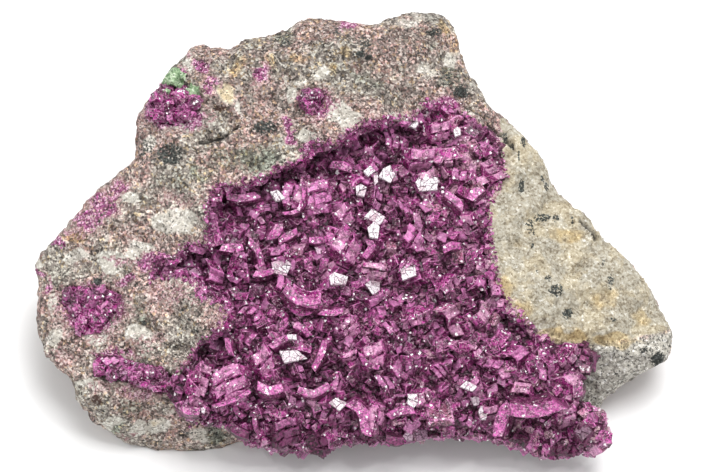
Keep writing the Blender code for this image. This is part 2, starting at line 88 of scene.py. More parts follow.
# Crystals that stand out, as (u, v, length, breadth, heading in degrees, lean in degrees)
MAIN_CRYSTALS = (
    (-17.0, 6.3, 4.8, 2.6, 8, 60), (-6.6, 5.8, 4.6, 3.6, 70, 20), (-1.8, 11.0, 3.8, 2.4, -5, 65),
    (0.2, 8.4, 3.0, 1.9, 50, 60), (-9.0, 6.0, 4.2, 3.4, 80, 25), (-5.3, 5.9, 4.6, 4.0, 15, 12),
    (-5.6, -0.5, 3.2, 1.8, 30, 62), (-3.1, -0.4, 2.9, 2.0, 60, 60), (-1.2, 2.9, 3.0, 2.5, 45, 20),
    (-18.5, -1.9, 3.9, 2.0, -6, 62), (-14.8, -1.7, 3.0, 2.2, 50, 55), (-0.8, -1.9, 4.4, 3.8, 60, 22),
    (-13.6, -6.1, 3.4, 1.9, -8, 65), (2.9, -2.0, 3.8, 2.2, 80, 55), (-6.9, -4.4, 2.8, 1.9, 70, 60),
    (3.4, -5.3, 4.3, 2.3, -10, 25), (-2.8, -11.8, 3.2, 1.8, 10, 62), (-11.1, -14.2, 3.6, 2.1, -40, 60),
    (-7.9, -14.6, 3.4, 2.3, 35, 40), (-10.9, -17.5, 3.2, 2.1, 30, 50), (-5.2, -18.3, 4.9, 2.2, 62, 62),
    (-7.6, -10.1, 4.6, 3.2, -12, 50), (-15.7, -16.3, 3.0, 1.9, 50, 60), (-19.0, -16.3, 4.2, 2.2, 80, 60),
    (-0.4, -14.2, 3.2, 2.4, 40, 25), (3.3, -18.9, 3.9, 3.1, 20, 15), (-13.8, -19.6, 3.6, 3.1, 40, 25),
    (-19.0, -23.2, 5.8, 4.6, 25, 14), (-23.8, -23.2, 4.8, 2.9, 75, 35), (-12.6, -24.0, 4.6, 3.0, -8, 35),
    (-5.7, -24.5, 5.2, 3.0, -10, 40), (2.0, -24.6, 5.2, 2.8, 5, 60), (3.2, -28.4, 5.2, 3.2, 78, 45),
    (7.9, -27.7, 4.4, 2.7, 5, 62), (6.8, -30.4, 3.2, 2.4, 30, 50), (-1.3, -27.8, 3.2, 2.6, 20, 25),
    (-10.2, -30.2, 4.4, 3.4, 20, 25), (-17.6, -27.2, 3.4, 2.5, 10, 55), (-24.8, -27.1, 3.4, 2.0, 30, 62),
    (-16.9, -30.4, 3.0, 2.1, -20, 55), (13.4, -28.0, 4.0, 2.4, 5, 65), (23.4, -28.4, 5.8, 3.6, 58, 42),
    (28.2, -26.8, 7.4, 3.8, 4, 38), (33.0, -27.9, 3.4, 2.4, 20, 30), (35.9, -30.4, 3.0, 2.4, 60, 20),
    (15.9, 5.0, 3.4, 2.3, -48, 60), (15.7, -1.6, 3.6, 2.0, 10, 62), (19.7, 6.6, 3.2, 2.3, 40, 55),
    (15.6, 17.6, 3.0, 2.2, 70, 50), (13.5, 16.3, 3.8, 2.5, 10, 30), (10.6, 12.1, 4.8, 3.0, 0, 30),
    (9.9, -12.7, 3.4, 2.6, 20, 35), (14.7, -7.8, 3.0, 2.4, 40, 30), (6.1, 9.2, 3.2, 2.3, 30, 20),
    (3.0, 10.3, 3.0, 2.2, 60, 30), (8.8, -5.4, 3.2, 2.2, 30, 20), (11.6, 8.4, 3.4, 2.6, 20, 18),
    (19.0, -23.4, 2.8, 2.0, 50, 30), (21.3, -27.6, 2.8, 2.1, 10, 25), (10.4, -25.4, 3.0, 2.2, 35, 20),
)
FILL_TRIES = 900
FILL_SPACING = 3.5
FILL_LENGTH = (2.3, 3.4)
FILL_SEED = 17
CRYSTAL_DEPTH = 3.0
CRYSTAL_SKEW = 0.24
CRYSTAL_STAND = 0.35

# Where the crust's crystals are greyish, as (u, v, half width, half height, strength)
GREYISH_ZONES = (
    (16.8, 10.6, 4.0, 3.2, 1), (9.7, 13.2, 1.6, 1.4, 0.9), (13.1, 15.0, 1.5, 2.2, 0.8),
    (13.3, 5.1, 1.0, 0.8, 0.8), (-8.7, -2.7, 1.5, 0.9, 1), (-2.1, -18.9, 1.6, 1.0, 0.9),
    (-18.5, -23.3, 2.4, 2.2, 0.9), (-11.5, -18.6, 1.4, 1.3, 0.9), (5.5, -3.4, 1.6, 1.2, 0.8),
    (4.6, -6.8, 1.8, 1.0, 0.8), (20.8, -10.5, 0.9, 2.5, 0.7), (9.6, -13.0, 1.8, 1.4, 0.8),
    (-13.5, 4.2, 1.4, 1.0, 0.8), (2.2, -14.0, 1.6, 1.2, 0.7), (26.0, -23.5, 1.5, 0.9, 0.7),
    (-40.2, -13.0, 3.4, 2.0, 1.1), (-38.7, -20.3, 1.6, 0.8, 1.2), (-32.5, -23.4, 3.0, 0.7, 0.9),
    (-26.3, 21.3, 1.6, 0.9, 0.7), (-30.2, 19.2, 1.2, 0.8, 0.7),
)

# Crystals seen edge-on, as bent bars: start, middle and end as (u, v), and thickness
BARS = (
    (-19.6, 6.1, -17.8, 5.2, -14.5, 6.3, 1.3), (-20.3, -1.9, -18.5, -2.2, -16.8, -1.9, 1.4),
    (-16.2, -0.9, -14.5, -1.7, -14.2, -4.7, 1.1), (-15.1, -6.1, -13.5, -6.3, -12.0, -5.6, 1.1),
    (-11.7, 2.0, -11.8, 0.8, -12.8, -0.2, 1.6), (-11.3, -1.1, -9.9, 0.0, -8.4, 0.6, 1.2),
    (-6.5, -0.6, -5.1, -0.8, -3.7, -0.5, 1.1), (-3.4, 0.6, -2.7, -2.2, -0.4, -3.6, 1.3),
    (-0.5, -3.6, 0.2, -3.6, 0.9, -2.8, 1.1), (2.9, -0.5, 4.3, -1.7, 2.1, -3.4, 1.2),
    (-10.4, -8.1, -9.3, -10.6, -5.2, -10.8, 1.7), (-4.8, -11.6, -3.2, -12.1, -1.3, -11.4, 1.0),
    (-7.3, -3.6, -6.8, -4.5, -7.0, -5.5, 1.3), (-4.3, -3.4, -4.9, -4.9, -4.5, -6.1, 1.3),
    (-22.0, 1.9, -21.8, 0.2, -21.0, -1.6, 1.7), (-3.2, 11.4, -1.3, 11.4, 0.2, 10.5, 1.3),
    (-7.4, 8.6, -6.7, 6.1, -8.1, 3.9, 0.7), (-10.6, 3.4, -9.3, 3.4, -8.1, 3.9, 0.6),
    (-9.2, -14.1, -7.6, -13.8, -6.7, -15.7, 1.1), (-12.4, -17.5, -11.2, -16.4, -9.8, -16.0, 1.2),
    (-4.1, -16.3, -4.5, -18.3, -6.0, -20.7, 1.1), (-11.5, -15.0, -10.6, -14.2, -9.6, -13.3, 1.3),
    (-19.0, -15.8, -19.0, -17.2, -18.4, -18.5, 0.9),
    (-16.4, -16.7, -15.9, -15.8, -15.1, -15.0, 0.9),
    (-14.6, -23.2, -12.9, -25.0, -10.6, -23.5, 1.4), (-8.4, -24.1, -5.7, -26.0, -3.2, -23.3, 1.3),
    (1.6, -18.2, 1.6, -20.3, 4.3, -20.3, 0.9), (-0.2, -25.4, 2.9, -25.7, 2.6, -30.7, 1.7),
    (5.7, -28.0, 7.1, -26.6, 9.6, -26.8, 1.4), (5.4, -31.0, 6.7, -31.9, 8.1, -31.5, 1.3),
    (-26.2, -26.4, -25.0, -27.4, -23.4, -27.2, 1.4),
    (-18.7, -29.1, -17.6, -30.4, -15.9, -30.8, 1.3),
    (-21.4, -26.3, -18.4, -25.7, -15.7, -23.9, 0.7),
    (-17.9, -26.3, -17.8, -27.4, -16.5, -28.0, 0.8),
    (-14.9, -28.2, -15.1, -29.4, -14.3, -30.5, 0.8), (6.7, -20.5, 7.7, -20.7, 8.7, -21.9, 0.9),
    (14.5, 6.4, 16.0, 5.6, 17.1, 4.2, 1.3), (7.7, 15.0, 8.5, 15.0, 9.0, 14.2, 1.1),
    (18.5, 5.6, 19.2, 6.7, 20.3, 7.2, 1.4), (19.0, 2.8, 19.2, 3.6, 20.1, 4.4, 0.8),
    (14.3, -2.2, 15.4, -1.1, 17.0, -1.6, 1.3), (7.6, -5.6, 7.6, -4.5, 8.4, -3.8, 0.6),
    (22.8, -31.0, 23.1, -27.7, 24.6, -26.1, 2.0), (24.5, -26.3, 27.9, -27.4, 32.0, -25.5, 2.0),
)

SMALL_CRUSTS = ("left_vein_druse", "lower_left_druse", "upper_left_druse", "upper_pocket_druse")

# Broad faces that throw the light back, as (u, v, breadth, height)
BRIGHT_FACES = (
    (-11.5, 6.4, 1.7, 1.9), (2.9, 10.2, 1.6, 1.7), (3.8, 9.1, 2.0, 0.9), (5.6, 9.7, 2.2, 2.3),
    (1.6, 7.2, 2.0, 1.6), (3.8, 3.0, 2.8, 2.7), (3.4, 0.9, 2.5, 1.7), (-10.9, -4.7, 3.0, 2.8),
    (-2.1, -6.7, 2.2, 3.1), (3.4, -7.7, 2.3, 2.0), (5.7, -7.7, 1.3, 1.3), (8.8, -5.3, 3.0, 2.5),
    (11.8, 8.3, 3.1, 3.8), (9.6, 17.7, 1.6, 1.7), (16.5, 16.3, 1.7, 1.3), (-9.2, -18.6, 2.3, 4.1),
    (-9.2, -15.7, 1.1, 1.7), (-2.1, -25.8, 1.7, 2.3), (8.2, -15.8, 1.9, 2.0), (9.3, -16.9, 1.3, 1.1),
    (13.1, -13.1, 3.1, 2.8), (9.5, -25.4, 2.3, 1.6), (18.2, -23.2, 1.6, 2.0), (19.3, -25.5, 1.4, 1.3),
    (20.4, -27.5, 2.3, 1.4), (8.8, -31.0, 1.4, 1.7), (10.7, -30.7, 1.7, 2.2), (35.9, -30.4, 2.3, 2.5),
    (-22.9, -26.9, 0.9, 0.8),
)

# Marks on the rock's front, as (u, v, half width, half height, strength)
CREAM_FACE = (
    (22.8, 18.2), (26.4, 18.5), (30.3, 13.5), (35.8, 5.6), (40.8, 1.3), (45.2, -5.3), (50.5, -13.5),
    (51.0, -14.6), (35.9, -17.5), (32.0, -17.7), (28.7, -14.9), (25.1, -11.3), (22.5, -8.1),
    (21.7, -3.4), (21.0, 4.9), (23.4, 9.4),
)
FRESH_BREAK = (
    (28.7, -14.9), (35.9, -17.5), (51.0, -14.6), (50.5, -19.7), (45.2, -23.5), (39.8, -27.0),
    (38.9, -27.9), (34.7, -24.9), (37.0, -18.8), (32.0, -17.7),
)
DARK_MARKS = (
    (-32.2, 13.5, 1.4, 2.0, 0.85), (-28.4, 12.7, 2.2, 1.9, 1), (-28.1, 11.9, 1.3, 1.1, 1.1),
    (-35.1, 10.3, 1.3, 0.9, 0.7), (-22.3, 9.5, 1.3, 1.1, 0.55), (-13.4, 16.9, 2.2, 1.1, 1.05),
    (-10.4, 30.2, 0.9, 0.8, 0.9), (-9.9, 31.9, 1.6, 0.6, 0.6), (-2.3, 31.8, 0.8, 0.6, 0.9),
    (1.6, 31.0, 1.1, 0.9, 0.75), (1.3, 28.5, 0.8, 0.5, 1.2), (2.7, 27.9, 0.7, 0.5, 1.2),
    (2.3, 29.9, 0.9, 0.6, 0.9), (12.9, 31.8, 1.4, 0.6, 1), (8.2, 31.0, 1.4, 0.9, 0.65),
    (10.7, 29.4, 2.2, 1.4, 0.55), (6.8, 27.5, 3.1, 1.3, 0.5), (15.1, 24.6, 1.4, 1.3, 0.8),
    (17.1, 22.5, 1.3, 1.1, 1.1), (20.3, 21.1, 0.6, 0.2, 1), (22.1, 17.7, 0.5, 0.3, 1),
    (24.0, 15.3, 0.6, 0.8, 0.95), (25.0, 14.1, 0.5, 0.5, 1), (26.8, 14.6, 0.4, 0.9, 1.15),
    (26.1, 12.5, 0.3, 0.9, 1.15), (26.5, 7.7, 0.5, 1.3, 1.1), (29.7, 8.8, 0.4, 0.6, 1),
    (30.4, 7.7, 0.5, 0.9, 1), (29.8, 2.8, 1.4, 0.7, 1.05), (27.8, 1.9, 0.9, 0.9, 0.85),
    (31.8, 2.7, 0.6, 0.6, 1), (28.1, 0.8, 0.8, 0.8, 0.9), (28.1, -1.6, 0.3, 0.6, 1.1),
    (34.4, 2.2, 0.3, 0.8, 1), (31.8, -8.5, 1.3, 1.1, 1), (30.6, -6.6, 0.6, 0.5, 1),
    (28.7, -5.6, 0.3, 0.3, 1.1), (33.3, -12.2, 0.9, 0.9, 1.05), (40.3, -7.2, 0.6, 1.4, 0.85),
    (40.6, -13.0, 0.5, 0.5, 1), (39.2, -4.1, 0.3, 0.8, 0.8), (47.7, -19.2, 1.1, 1.1, 1.25),
    (45.6, -17.7, 0.8, 0.5, 1), (25.7, -4.5, 0.3, 0.3, 1.1), (36.7, -16.7, 0.6, 0.5, 0.8),
    (-39.4, -7.0, 0.8, 0.6, 1.2), (-32.2, -13.5, 0.6, 0.5, 1), (-23.9, -14.4, 0.6, 0.6, 0.95),
    (-25.1, -12.8, 0.5, 0.3, 1), (-33.6, -7.5, 0.5, 0.6, 1), (-26.1, -11.4, 0.5, 0.3, 0.9),
    (-34.8, -17.8, 0.8, 0.6, 0.8), (-25.6, -30.8, 0.9, 0.6, 0.8), (-21.5, -30.7, 0.9, 0.8, 0.75),
    (-40.9, -28.8, 0.6, 0.5, 0.7),
)
RUST_MARKS = (
    (-20.4, 19.9, 1.1, 0.8, 1), (-37.1, 1.3, 0.4, 0.4, 1.3), (-13.5, 29.3, 0.6, 0.5, 0.9),
    (-9.2, 29.2, 0.3, 0.3, 1.3), (-39.5, -25.5, 0.9, 0.9, 1.1), (9.8, 20.2, 1.6, 1.3, 0.6),
    (-35.0, -17.5, 1.1, 0.8, 0.6), (-16.5, 25.7, 0.6, 0.5, 0.4),
)
PINK_MARKS = (
    (-36.5, 7.2, 1.7, 1.6, 0.75), (-38.6, 4.9, 2.2, 1.9, 0.85), (-40.9, 2.5, 2.2, 1.9, 0.8),
    (-43.3, 0.6, 1.4, 1.1, 0.6), (-27.5, 18.5, 5.0, 1.9, 0.95), (-22.0, 23.5, 1.4, 1.9, 0.8),
    (-23.4, 26.6, 1.3, 0.9, 1.2), (-26.5, 25.5, 0.9, 1.3, 0.9), (-30.1, 23.0, 0.8, 0.8, 1.3),
    (-25.0, 28.3, 0.6, 0.9, 0.6), (-14.0, 25.4, 1.3, 1.3, 0.9), (-15.1, 23.6, 0.9, 1.6, 0.5),
    (-45.6, -1.1, 1.1, 0.7, 1.3), (-49.2, -5.8, 1.1, 0.5, 1.3), (-47.5, -7.8, 0.6, 1.3, 0.9),
    (-35.0, -6.7, 1.4, 0.6, 1), (-31.5, -4.1, 1.7, 1.3, 1.1), (-36.2, -4.1, 2.2, 0.5, 0.6),
    (-5.4, 20.8, 2.8, 2.5, 0.8), (-9.9, 17.4, 0.7, 1.4, 1.1), (-9.0, 15.3, 0.8, 1.3, 1.1),
    (-7.1, 13.6, 1.1, 0.9, 1.1), (-0.2, 32.9, 1.9, 0.5, 0.8), (15.1, 20.2, 2.2, 1.6, 1.2),
    (18.5, 17.5, 1.6, 1.3, 0.9), (22.0, 11.9, 1.3, 4.7, 0.75), (-28.1, -8.8, 3.1, 1.9, 0.55),
    (-20.7, -13.5, 1.8, 2.8, 0.55), (-23.0, -18.6, 2.0, 1.4, 0.6), (-31.5, -16.3, 2.2, 1.3, 0.45),
    (-26.8, 5.6, 2.5, 1.4, 0.4), (-40.6, -11.3, 5.0, 4.1, 0.85), (-36.5, -18.2, 3.4, 0.8, 0.8),
    (-31.5, -23.8, 4.7, 1.1, 0.65), (-39.0, -23.2, 2.2, 0.9, 0.5), (-45.6, -18.8, 1.9, 1.1, 0.45),
    (-18.2, 4.4, 2.2, 1.6, 0.7), (-21.4, 3.3, 1.4, 2.2, 0.6), (-18.2, -34.3, 4.1, 0.8, 0.3),
    (32.6, -18.2, 1.9, 1.3, 0.5), (-34.7, -30.7, 1.9, 0.6, 0.35),
)
PALE_MARKS = (
    (-33.9, 5.9, 1.3, 0.8, 0.9), (-27.5, 2.2, 3.1, 1.6, 0.9), (-33.1, -2.2, 1.7, 1.3, 1.1),
    (-38.1, -5.0, 1.4, 1.1, 1.1), (-37.5, -3.3, 2.2, 0.6, 0.9), (-42.6, -2.8, 1.9, 0.9, 0.7),
    (-48.9, -4.2, 0.9, 0.8, 0.9), (-40.0, -15.0, 1.6, 1.7, 1.1), (-32.9, -15.0, 1.6, 1.3, 1),
    (-46.4, -10.8, 0.9, 1.3, 0.9), (-46.2, -15.7, 1.3, 1.3, 0.8), (-38.4, -20.2, 1.3, 0.8, 1.3),
    (-37.5, -29.0, 1.4, 0.9, 0.9), (-32.9, -30.2, 1.4, 0.9, 1), (-29.8, -29.4, 1.6, 1.1, 0.9),
    (-23.9, -31.1, 1.7, 0.9, 0.9), (-26.5, -25.2, 2.0, 1.1, 0.7), (-40.5, -22.7, 1.6, 0.9, 0.7),
    (-1.8, 19.1, 1.9, 1.6, 0.9), (-0.5, 17.7, 1.3, 1.6, 0.8), (-6.7, 15.5, 1.4, 0.9, 0.9),
    (-9.3, 21.6, 0.6, 0.8, 0.8), (-17.9, 20.2, 0.6, 0.9, 0.8), (-25.4, 26.8, 0.5, 0.9, 1.1),
    (-26.8, 16.9, 2.8, 0.6, 0.7), (-19.6, 22.5, 1.1, 1.6, 0.8), (7.3, 18.5, 1.6, 0.8, 0.7),
    (9.2, 33.5, 3.1, 0.8, 0.45), (15.7, 27.2, 0.9, 1.3, 0.8), (11.5, 26.0, 1.3, 1.3, 0.5),
    (-31.5, 14.2, 0.9, 0.9, 0.7), (-8.1, 23.8, 1.3, 0.9, 0.5), (-4.9, 25.2, 0.9, 0.8, 0.7),
)
OCHRE_MARKS = (
    (-19.5, 22.8, 1.3, 1.9, 0.6), (-17.6, 26.4, 1.1, 1.1, 0.6), (-31.1, 18.0, 0.9, 0.6, 0.5),
    (-43.1, -0.3, 1.4, 0.9, 0.9), (14.6, 32.6, 0.8, 1.1, 1), (-8.1, 27.7, 1.4, 0.8, 0.7),
    (-3.1, 25.8, 0.9, 0.8, 0.6), (-0.9, 28.8, 0.8, 1.1, 0.7), (-12.8, 27.2, 1.6, 0.9, 0.5),
    (16.2, 29.9, 0.8, 1.9, 0.5), (23.9, -9.1, 1.4, 1.9, 0.9), (34.2, 0.0, 2.5, 0.9, 0.6),
    (26.4, -11.6, 1.9, 1.3, 0.7), (32.6, -15.5, 3.4, 0.9, 0.9), (40.5, -16.0, 3.8, 0.9, 0.8),
    (-40.0, -13.9, 1.3, 0.8, 0.5), (-30.0, -28.8, 1.3, 0.6, 0.4), (39.7, -10.0, 2.2, 1.9, 0.5),
    (45.2, -12.8, 1.6, 1.6, 0.6), (21.7, 13.5, 0.9, 1.6, 0.5), (-16.8, -33.5, 2.8, 0.8, 0.7),
    (-15.9, 30.7, 1.9, 0.6, 0.4),
)
GREY_MARKS = (
    (-15.9, 11.9, 5.6, 2.2, 0.8), (-22.9, 10.0, 2.2, 1.6, 0.7), (-34.2, -26.4, 1.7, 1.3, 1),
    (-10.4, 31.3, 2.2, 1.1, 0.7), (15.4, 24.7, 1.6, 1.4, 1), (-18.7, 7.2, 2.2, 1.6, 0.5),
    (-21.5, -31.0, 1.3, 1.1, 0.8), (-26.5, -25.7, 1.9, 1.4, 0.5), (4.5, 25.2, 5.6, 2.5, 0.45),
    (10.7, 31.5, 4.1, 2.2, 0.5), (-32.3, -12.4, 2.2, 1.9, 0.5), (-8.1, 19.7, 3.1, 1.6, 0.4),
    (-40.1, -31.9, 2.5, 1.6, 0.5), (-45.6, -17.1, 1.6, 1.6, 0.4), (-1.8, 22.8, 2.2, 1.3, 0.35),
    (-36.9, -29.6, 0.9, 1.6, 0.8), (-28.4, 8.8, 3.1, 1.3, 0.4),
)
GREEN_MARKS = (
    (-27.8, 24.4, 1.6, 1.6, 1), (-24.7, 22.3, 1.0, 1.2, 1), (-28.8, 22.3, 0.7, 0.5, 1),
)

CRACK_LINES = (
    ((-23.7, 14.4), (-21.5, 14.8), (-20.0, 15.3), (-18.9, 16.3), (-17.9, 16.8)),
    ((17.6, 20.3), (20.1, 19.0), (22.8, 16.0), (25.1, 14.1)), ((35.8, 2.5), (37.5, 0.7), (38.2, -0.9)),
)
CRACK_HALF_WIDTH = 0.30

# Thin green flakes, as (u, v, breadth)
FLAKES = (
    (-27.8, 24.6, 3.0), (-24.8, 22.6, 2.4), (-28.7, 22.4, 1.5), (-26.2, 24.9, 1.4),
    (-26.6, 23.4, 1.2),
)


# Places and shapes

WAVE_LAYER = 20.0
MARK_REACH = 1.5
MARK_EDGE = 1.3
NEARLY_ALONG = 0.8


def to_part(places):
    """Rows of (u, v, w) in millimetres as points of the part, in metres."""
    return (np.asarray(places) @ AXES - BASE_CENTRE) * MM


def to_front(points):
    """Points of the part as rows of (u, v, w)."""
    return (np.asarray(points) / MM + BASE_CENTRE) @ AXES.T


def crystal_plane(v):
    return STONE_HEIGHT + FACE_SLOPE * v


def crust_surface(u, v):
    """Height of the wide crust between its crystals."""
    waves = noise.noise(Vector((u, v, WAVE_LAYER)) / CRUST_WAVE_SIZE) * CRUST_WAVES
    roll = max(0.0, FRONT_ROLL_START - v) * FRONT_ROLL
    return crystal_plane(v) - CRUST_SINK + waves - roll


def line_distance(line, u, v):
    """How far places lie from a line of points."""
    nearest = np.full(u.shape, np.inf)
    for (u0, v0), (u1, v1) in zip(line, line[1:]):
        du = u1 - u0
        dv = v1 - v0
        along = np.clip(((u - u0) * du + (v - v0) * dv) / (du * du + dv * dv), 0, 1)
        nearest = np.minimum(nearest, np.hypot(u - u0 - along * du, v - v0 - along * dv))
    return nearest


def depth_inside(outline, u, v):
    """How far places lie inside an outline; below 0 outside it."""
    closed = (*outline, outline[0])
    inside = np.zeros(u.shape, bool)
    for (u0, v0), (u1, v1) in zip(closed, closed[1:]):
        if v0 != v1:
            inside ^= ((v0 > v) != (v1 > v)) & (u < u0 + (v - v0) * (u1 - u0) / (v1 - v0))
    nearest = line_distance(closed, u, v)
    return np.where(inside, nearest, -nearest)


def step_between(low, high, x):
    x = np.clip((x - low) / (high - low), 0, 1)
    return x * x * (3 - 2 * x)


def marked(marks, u, v):
    """Strength of a set of oval marks at each place, full in the middle and none past their reach."""
    found = np.zeros(u.shape)
    for mark_u, mark_v, half_width, half_height, strength in marks:
        away = np.hypot((u - mark_u) / half_width, (v - mark_v) / half_height)
        found = np.maximum(found, strength * np.clip((MARK_REACH - away) * MARK_EDGE, 0, 1))
    return found


def noise_vectors(places, size):
    """A random vector for each place, alike at places much closer than a size."""
    return np.array([noise.noise_vector(Vector(place) / size) for place in places])


def turned(axis, degrees):
    """Turns about one axis, for one angle or for an array of angles."""
    angle = np.radians(np.atleast_1d(degrees))
    turn = np.zeros((len(angle), 3, 3))
    second = (axis + 1) % 3
    third = (axis + 2) % 3
    turn[:, axis, axis] = 1
    turn[:, second, second] = np.cos(angle)
    turn[:, third, third] = np.cos(angle)
    turn[:, third, second] = np.sin(angle)
    turn[:, second, third] = -np.sin(angle)
    return turn


def facing(ways):
    """Turns that bring w onto each of some unit vectors."""
    ways = np.atleast_2d(ways)
    helper = np.where(np.abs(ways[:, :1]) < NEARLY_ALONG, (1.0, 0.0, 0.0), (0.0, 1.0, 0.0))
    across = np.cross(helper, ways)
    across /= np.linalg.norm(across, axis=1, keepdims=True)
    return np.stack((across, np.cross(ways, across), ways), axis=2)


def crystal_frames(length, breadth, depth, heading, lean, turn):
    """Skewed and turned sizes of crystals, for forms that reach from -1 to 1."""
    skewed = np.array((
        (1, CRYSTAL_SKEW, CRYSTAL_SKEW * 0.5),
        (0, 1, CRYSTAL_SKEW),
        (0, 0, 1),
    ))
    half = np.stack(np.broadcast_arrays(length, breadth, depth), axis=-1) / 2
    sized = skewed * np.atleast_2d(half)[:, None, :]
    return turned(2, heading) @ turned(1, turn) @ turned(0, lean) @ sized


# Crystal forms

class Form:
    """A crystal's shape: points from -1 to 1, triangles, their frost with painted sheen, and depth of
    colour, which paints light and shade on their faces.
    """

    def __init__(self, points, triangles, frost_and_sheen, smooth, depth=0.0):
        self.points = points
        self.triangles = triangles
        self.frost_and_sheen = frost_and_sheen
        self.smooth = smooth
        self.depth = np.broadcast_to(depth, len(triangles))


SADDLE_CELLS = 9
SADDLE_ROUNDING = 0.22
SADDLE_TAPER = 0.22
BEND_POWER = 1.5
BROAD_FACE = 1.2  # area from which a face counts as one of the six
# Frost with painted sheen, and depth of colour, of a block's broad faces from dark to pale; each block's
# faces take them in random order, as painted light and shade
FACE_FROST_AND_SHEEN = (0.0, 0.0, 0.05, 0.15, 0.35, 0.65)
FACE_DEPTHS = (-0.34, -0.22, -0.10, 0.0, 0.06, 0.10)
BLOCK_OVERLAP = 1.16
BLOCK_TURN = 9
BLOCK_QUADS = ((0, 1, 3, 2), (4, 6, 7, 5), (0, 4, 5, 1), (2, 3, 7, 6), (0, 2, 6, 4), (1, 5, 7, 3))


def saddle_form(curl, bend):
    """A block with rounded edges, faces curled like a saddle, and bent sideways."""
    flat_reach = 1 - SADDLE_ROUNDING
    steps = np.concatenate(((-1,), np.linspace(-flat_reach, flat_reach, SADDLE_CELLS - 1), (1,)))
    first, second = np.meshgrid(steps, steps, indexing="ij")
    points = []
    quads = []
    for axis in range(3):
        for side in (-1, 1):
            face = np.empty((*first.shape, 3))
            face[..., axis] = side
            face[..., (axis + 1) % 3] = first
            face[..., (axis + 2) % 3] = second
            number = np.arange(first.size).reshape(first.shape) + len(points) * first.size
            ring = (number[:-1, :-1], number[1:, :-1], number[1:, 1:], number[:-1, 1:])
            points.append(face.reshape(-1, 3))
            quads.append(np.stack(ring[::side], axis=-1).reshape(-1, 4))
    points, number = np.unique(np.round(np.concatenate(points), 6), axis=0, return_inverse=True)
    quads = number.reshape(-1)[np.concatenate(quads)]
    on_edge = (np.abs(points) > flat_reach + 1e-4).sum(axis=1) > 1
    core = np.clip(points, -flat_reach, flat_reach)
    out = points - core
    points = core + SADDLE_ROUNDING * out / np.linalg.norm(out, axis=1, keepdims=True)
    points[:, 1] *= 1 - SADDLE_TAPER * points[:, 0] ** 2
    points[:, 2] += curl * (points[:, 0] ** 2 - points[:, 1] ** 2)
    points[:, 1] += bend * np.abs(points[:, 0]) ** BEND_POWER
    triangles = np.concatenate((quads[:, :3], quads[:, (0, 2, 3)]))
    # Frost and painted sheen on the rounded edges
    return Form(points, triangles, on_edge[triangles].astype(float), True)


def chamfered_form(chamfer, uneven, seed, rim):
    """A block with cut edges, corners a little out of place, and faces of mixed depth of colour, painted
    light and shade given to its faces at random.
    """
    chance = random.Random(seed)
    solid = bmesh.new()
    bmesh.ops.create_cube(solid, size=2.0)
    for vert in solid.verts:
        vert.co += Vector([chance.uniform(-uneven, uneven) for _ in range(3)])
    bmesh.ops.bevel(solid, geom=solid.edges[:], offset=chamfer, segments=1, affect="EDGES")
    kinds = chance.sample(range(6), 6)
    triangles = []
    frost_and_sheen = []
    depth = []
    for face in solid.faces:
        corners = [vert.index for vert in face.verts]
        broad = face.calc_area() > BROAD_FACE
        kind = kinds.pop() if broad else 0
        for second, third in zip(corners[1:], corners[2:]):
            triangles.append((corners[0], second, third))
            frost_and_sheen.append((FACE_FROST_AND_SHEEN[kind] if broad else rim,) * 3)
            depth.append(FACE_DEPTHS[kind] if broad else 0.0)
    points = np.array([vert.co for vert in solid.verts])
    solid.free()
    return Form(points, np.array(triangles), np.array(frost_and_sheen), False, depth)


def uneven_block(uneven, seed):
    """A block with sharp edges and corners a little out of place, for the smallest crystals."""
    chance = np.random.default_rng(seed)
    points = np.array([(x, y, z) for x in (-1, 1) for y in (-1, 1) for z in (-1, 1)], float)
    points += chance.uniform(-uneven, uneven, points.shape)
    triangles = [(a, b, c) for a, b, c, _ in BLOCK_QUADS] + [(a, c, d) for a, _, c, d in BLOCK_QUADS]
    # Faces paler and darker in random order: painted light and shade
    kinds = np.tile(chance.permutation(6), 2)
    frost_and_sheen = np.repeat(np.array(FACE_FROST_AND_SHEEN)[kinds, None], 3, axis=1)
    return Form(points, np.array(triangles), frost_and_sheen, False, np.array(FACE_DEPTHS)[kinds])


def grown_form(part, long, wide, curl, bend, uneven, seed):
    """Blocks grown side by side in rows, fanned out along the curve of a saddle."""
    chance = random.Random(seed)
    points = []
    triangles = []
    for row in range(long):
        for column in range(wide):
            x = (2 * row + 1) / long - 1
            y = (2 * column + 1) / wide - 1
            size = (BLOCK_OVERLAP / long, BLOCK_OVERLAP / wide, chance.uniform(0.75, 1.0))
            jitter = [chance.uniform(-BLOCK_TURN, BLOCK_TURN) for _ in range(3)]
            fan = turned(0, math.degrees(math.atan(-2 * curl * y)) + jitter[0])
            fan = fan @ turned(1, math.degrees(-math.atan(2 * curl * x)) + jitter[1])
            fan = fan @ turned(2, jitter[2])
            seat = (x, y, curl * (x * x - y * y) + chance.uniform(-uneven, uneven))
            triangles.append(part.triangles + len(points) * len(part.points))
            points.append(part.points * size @ fan[0].T + seat)
    points = np.concatenate(points)
    points[:, 1] += bend * np.abs(points[:, 0]) ** BEND_POWER
    frost_and_sheen = np.tile(part.frost_and_sheen, (long * wide, 1))
    return Form(points, np.concatenate(triangles), frost_and_sheen, False, np.tile(part.depth, long * wide))


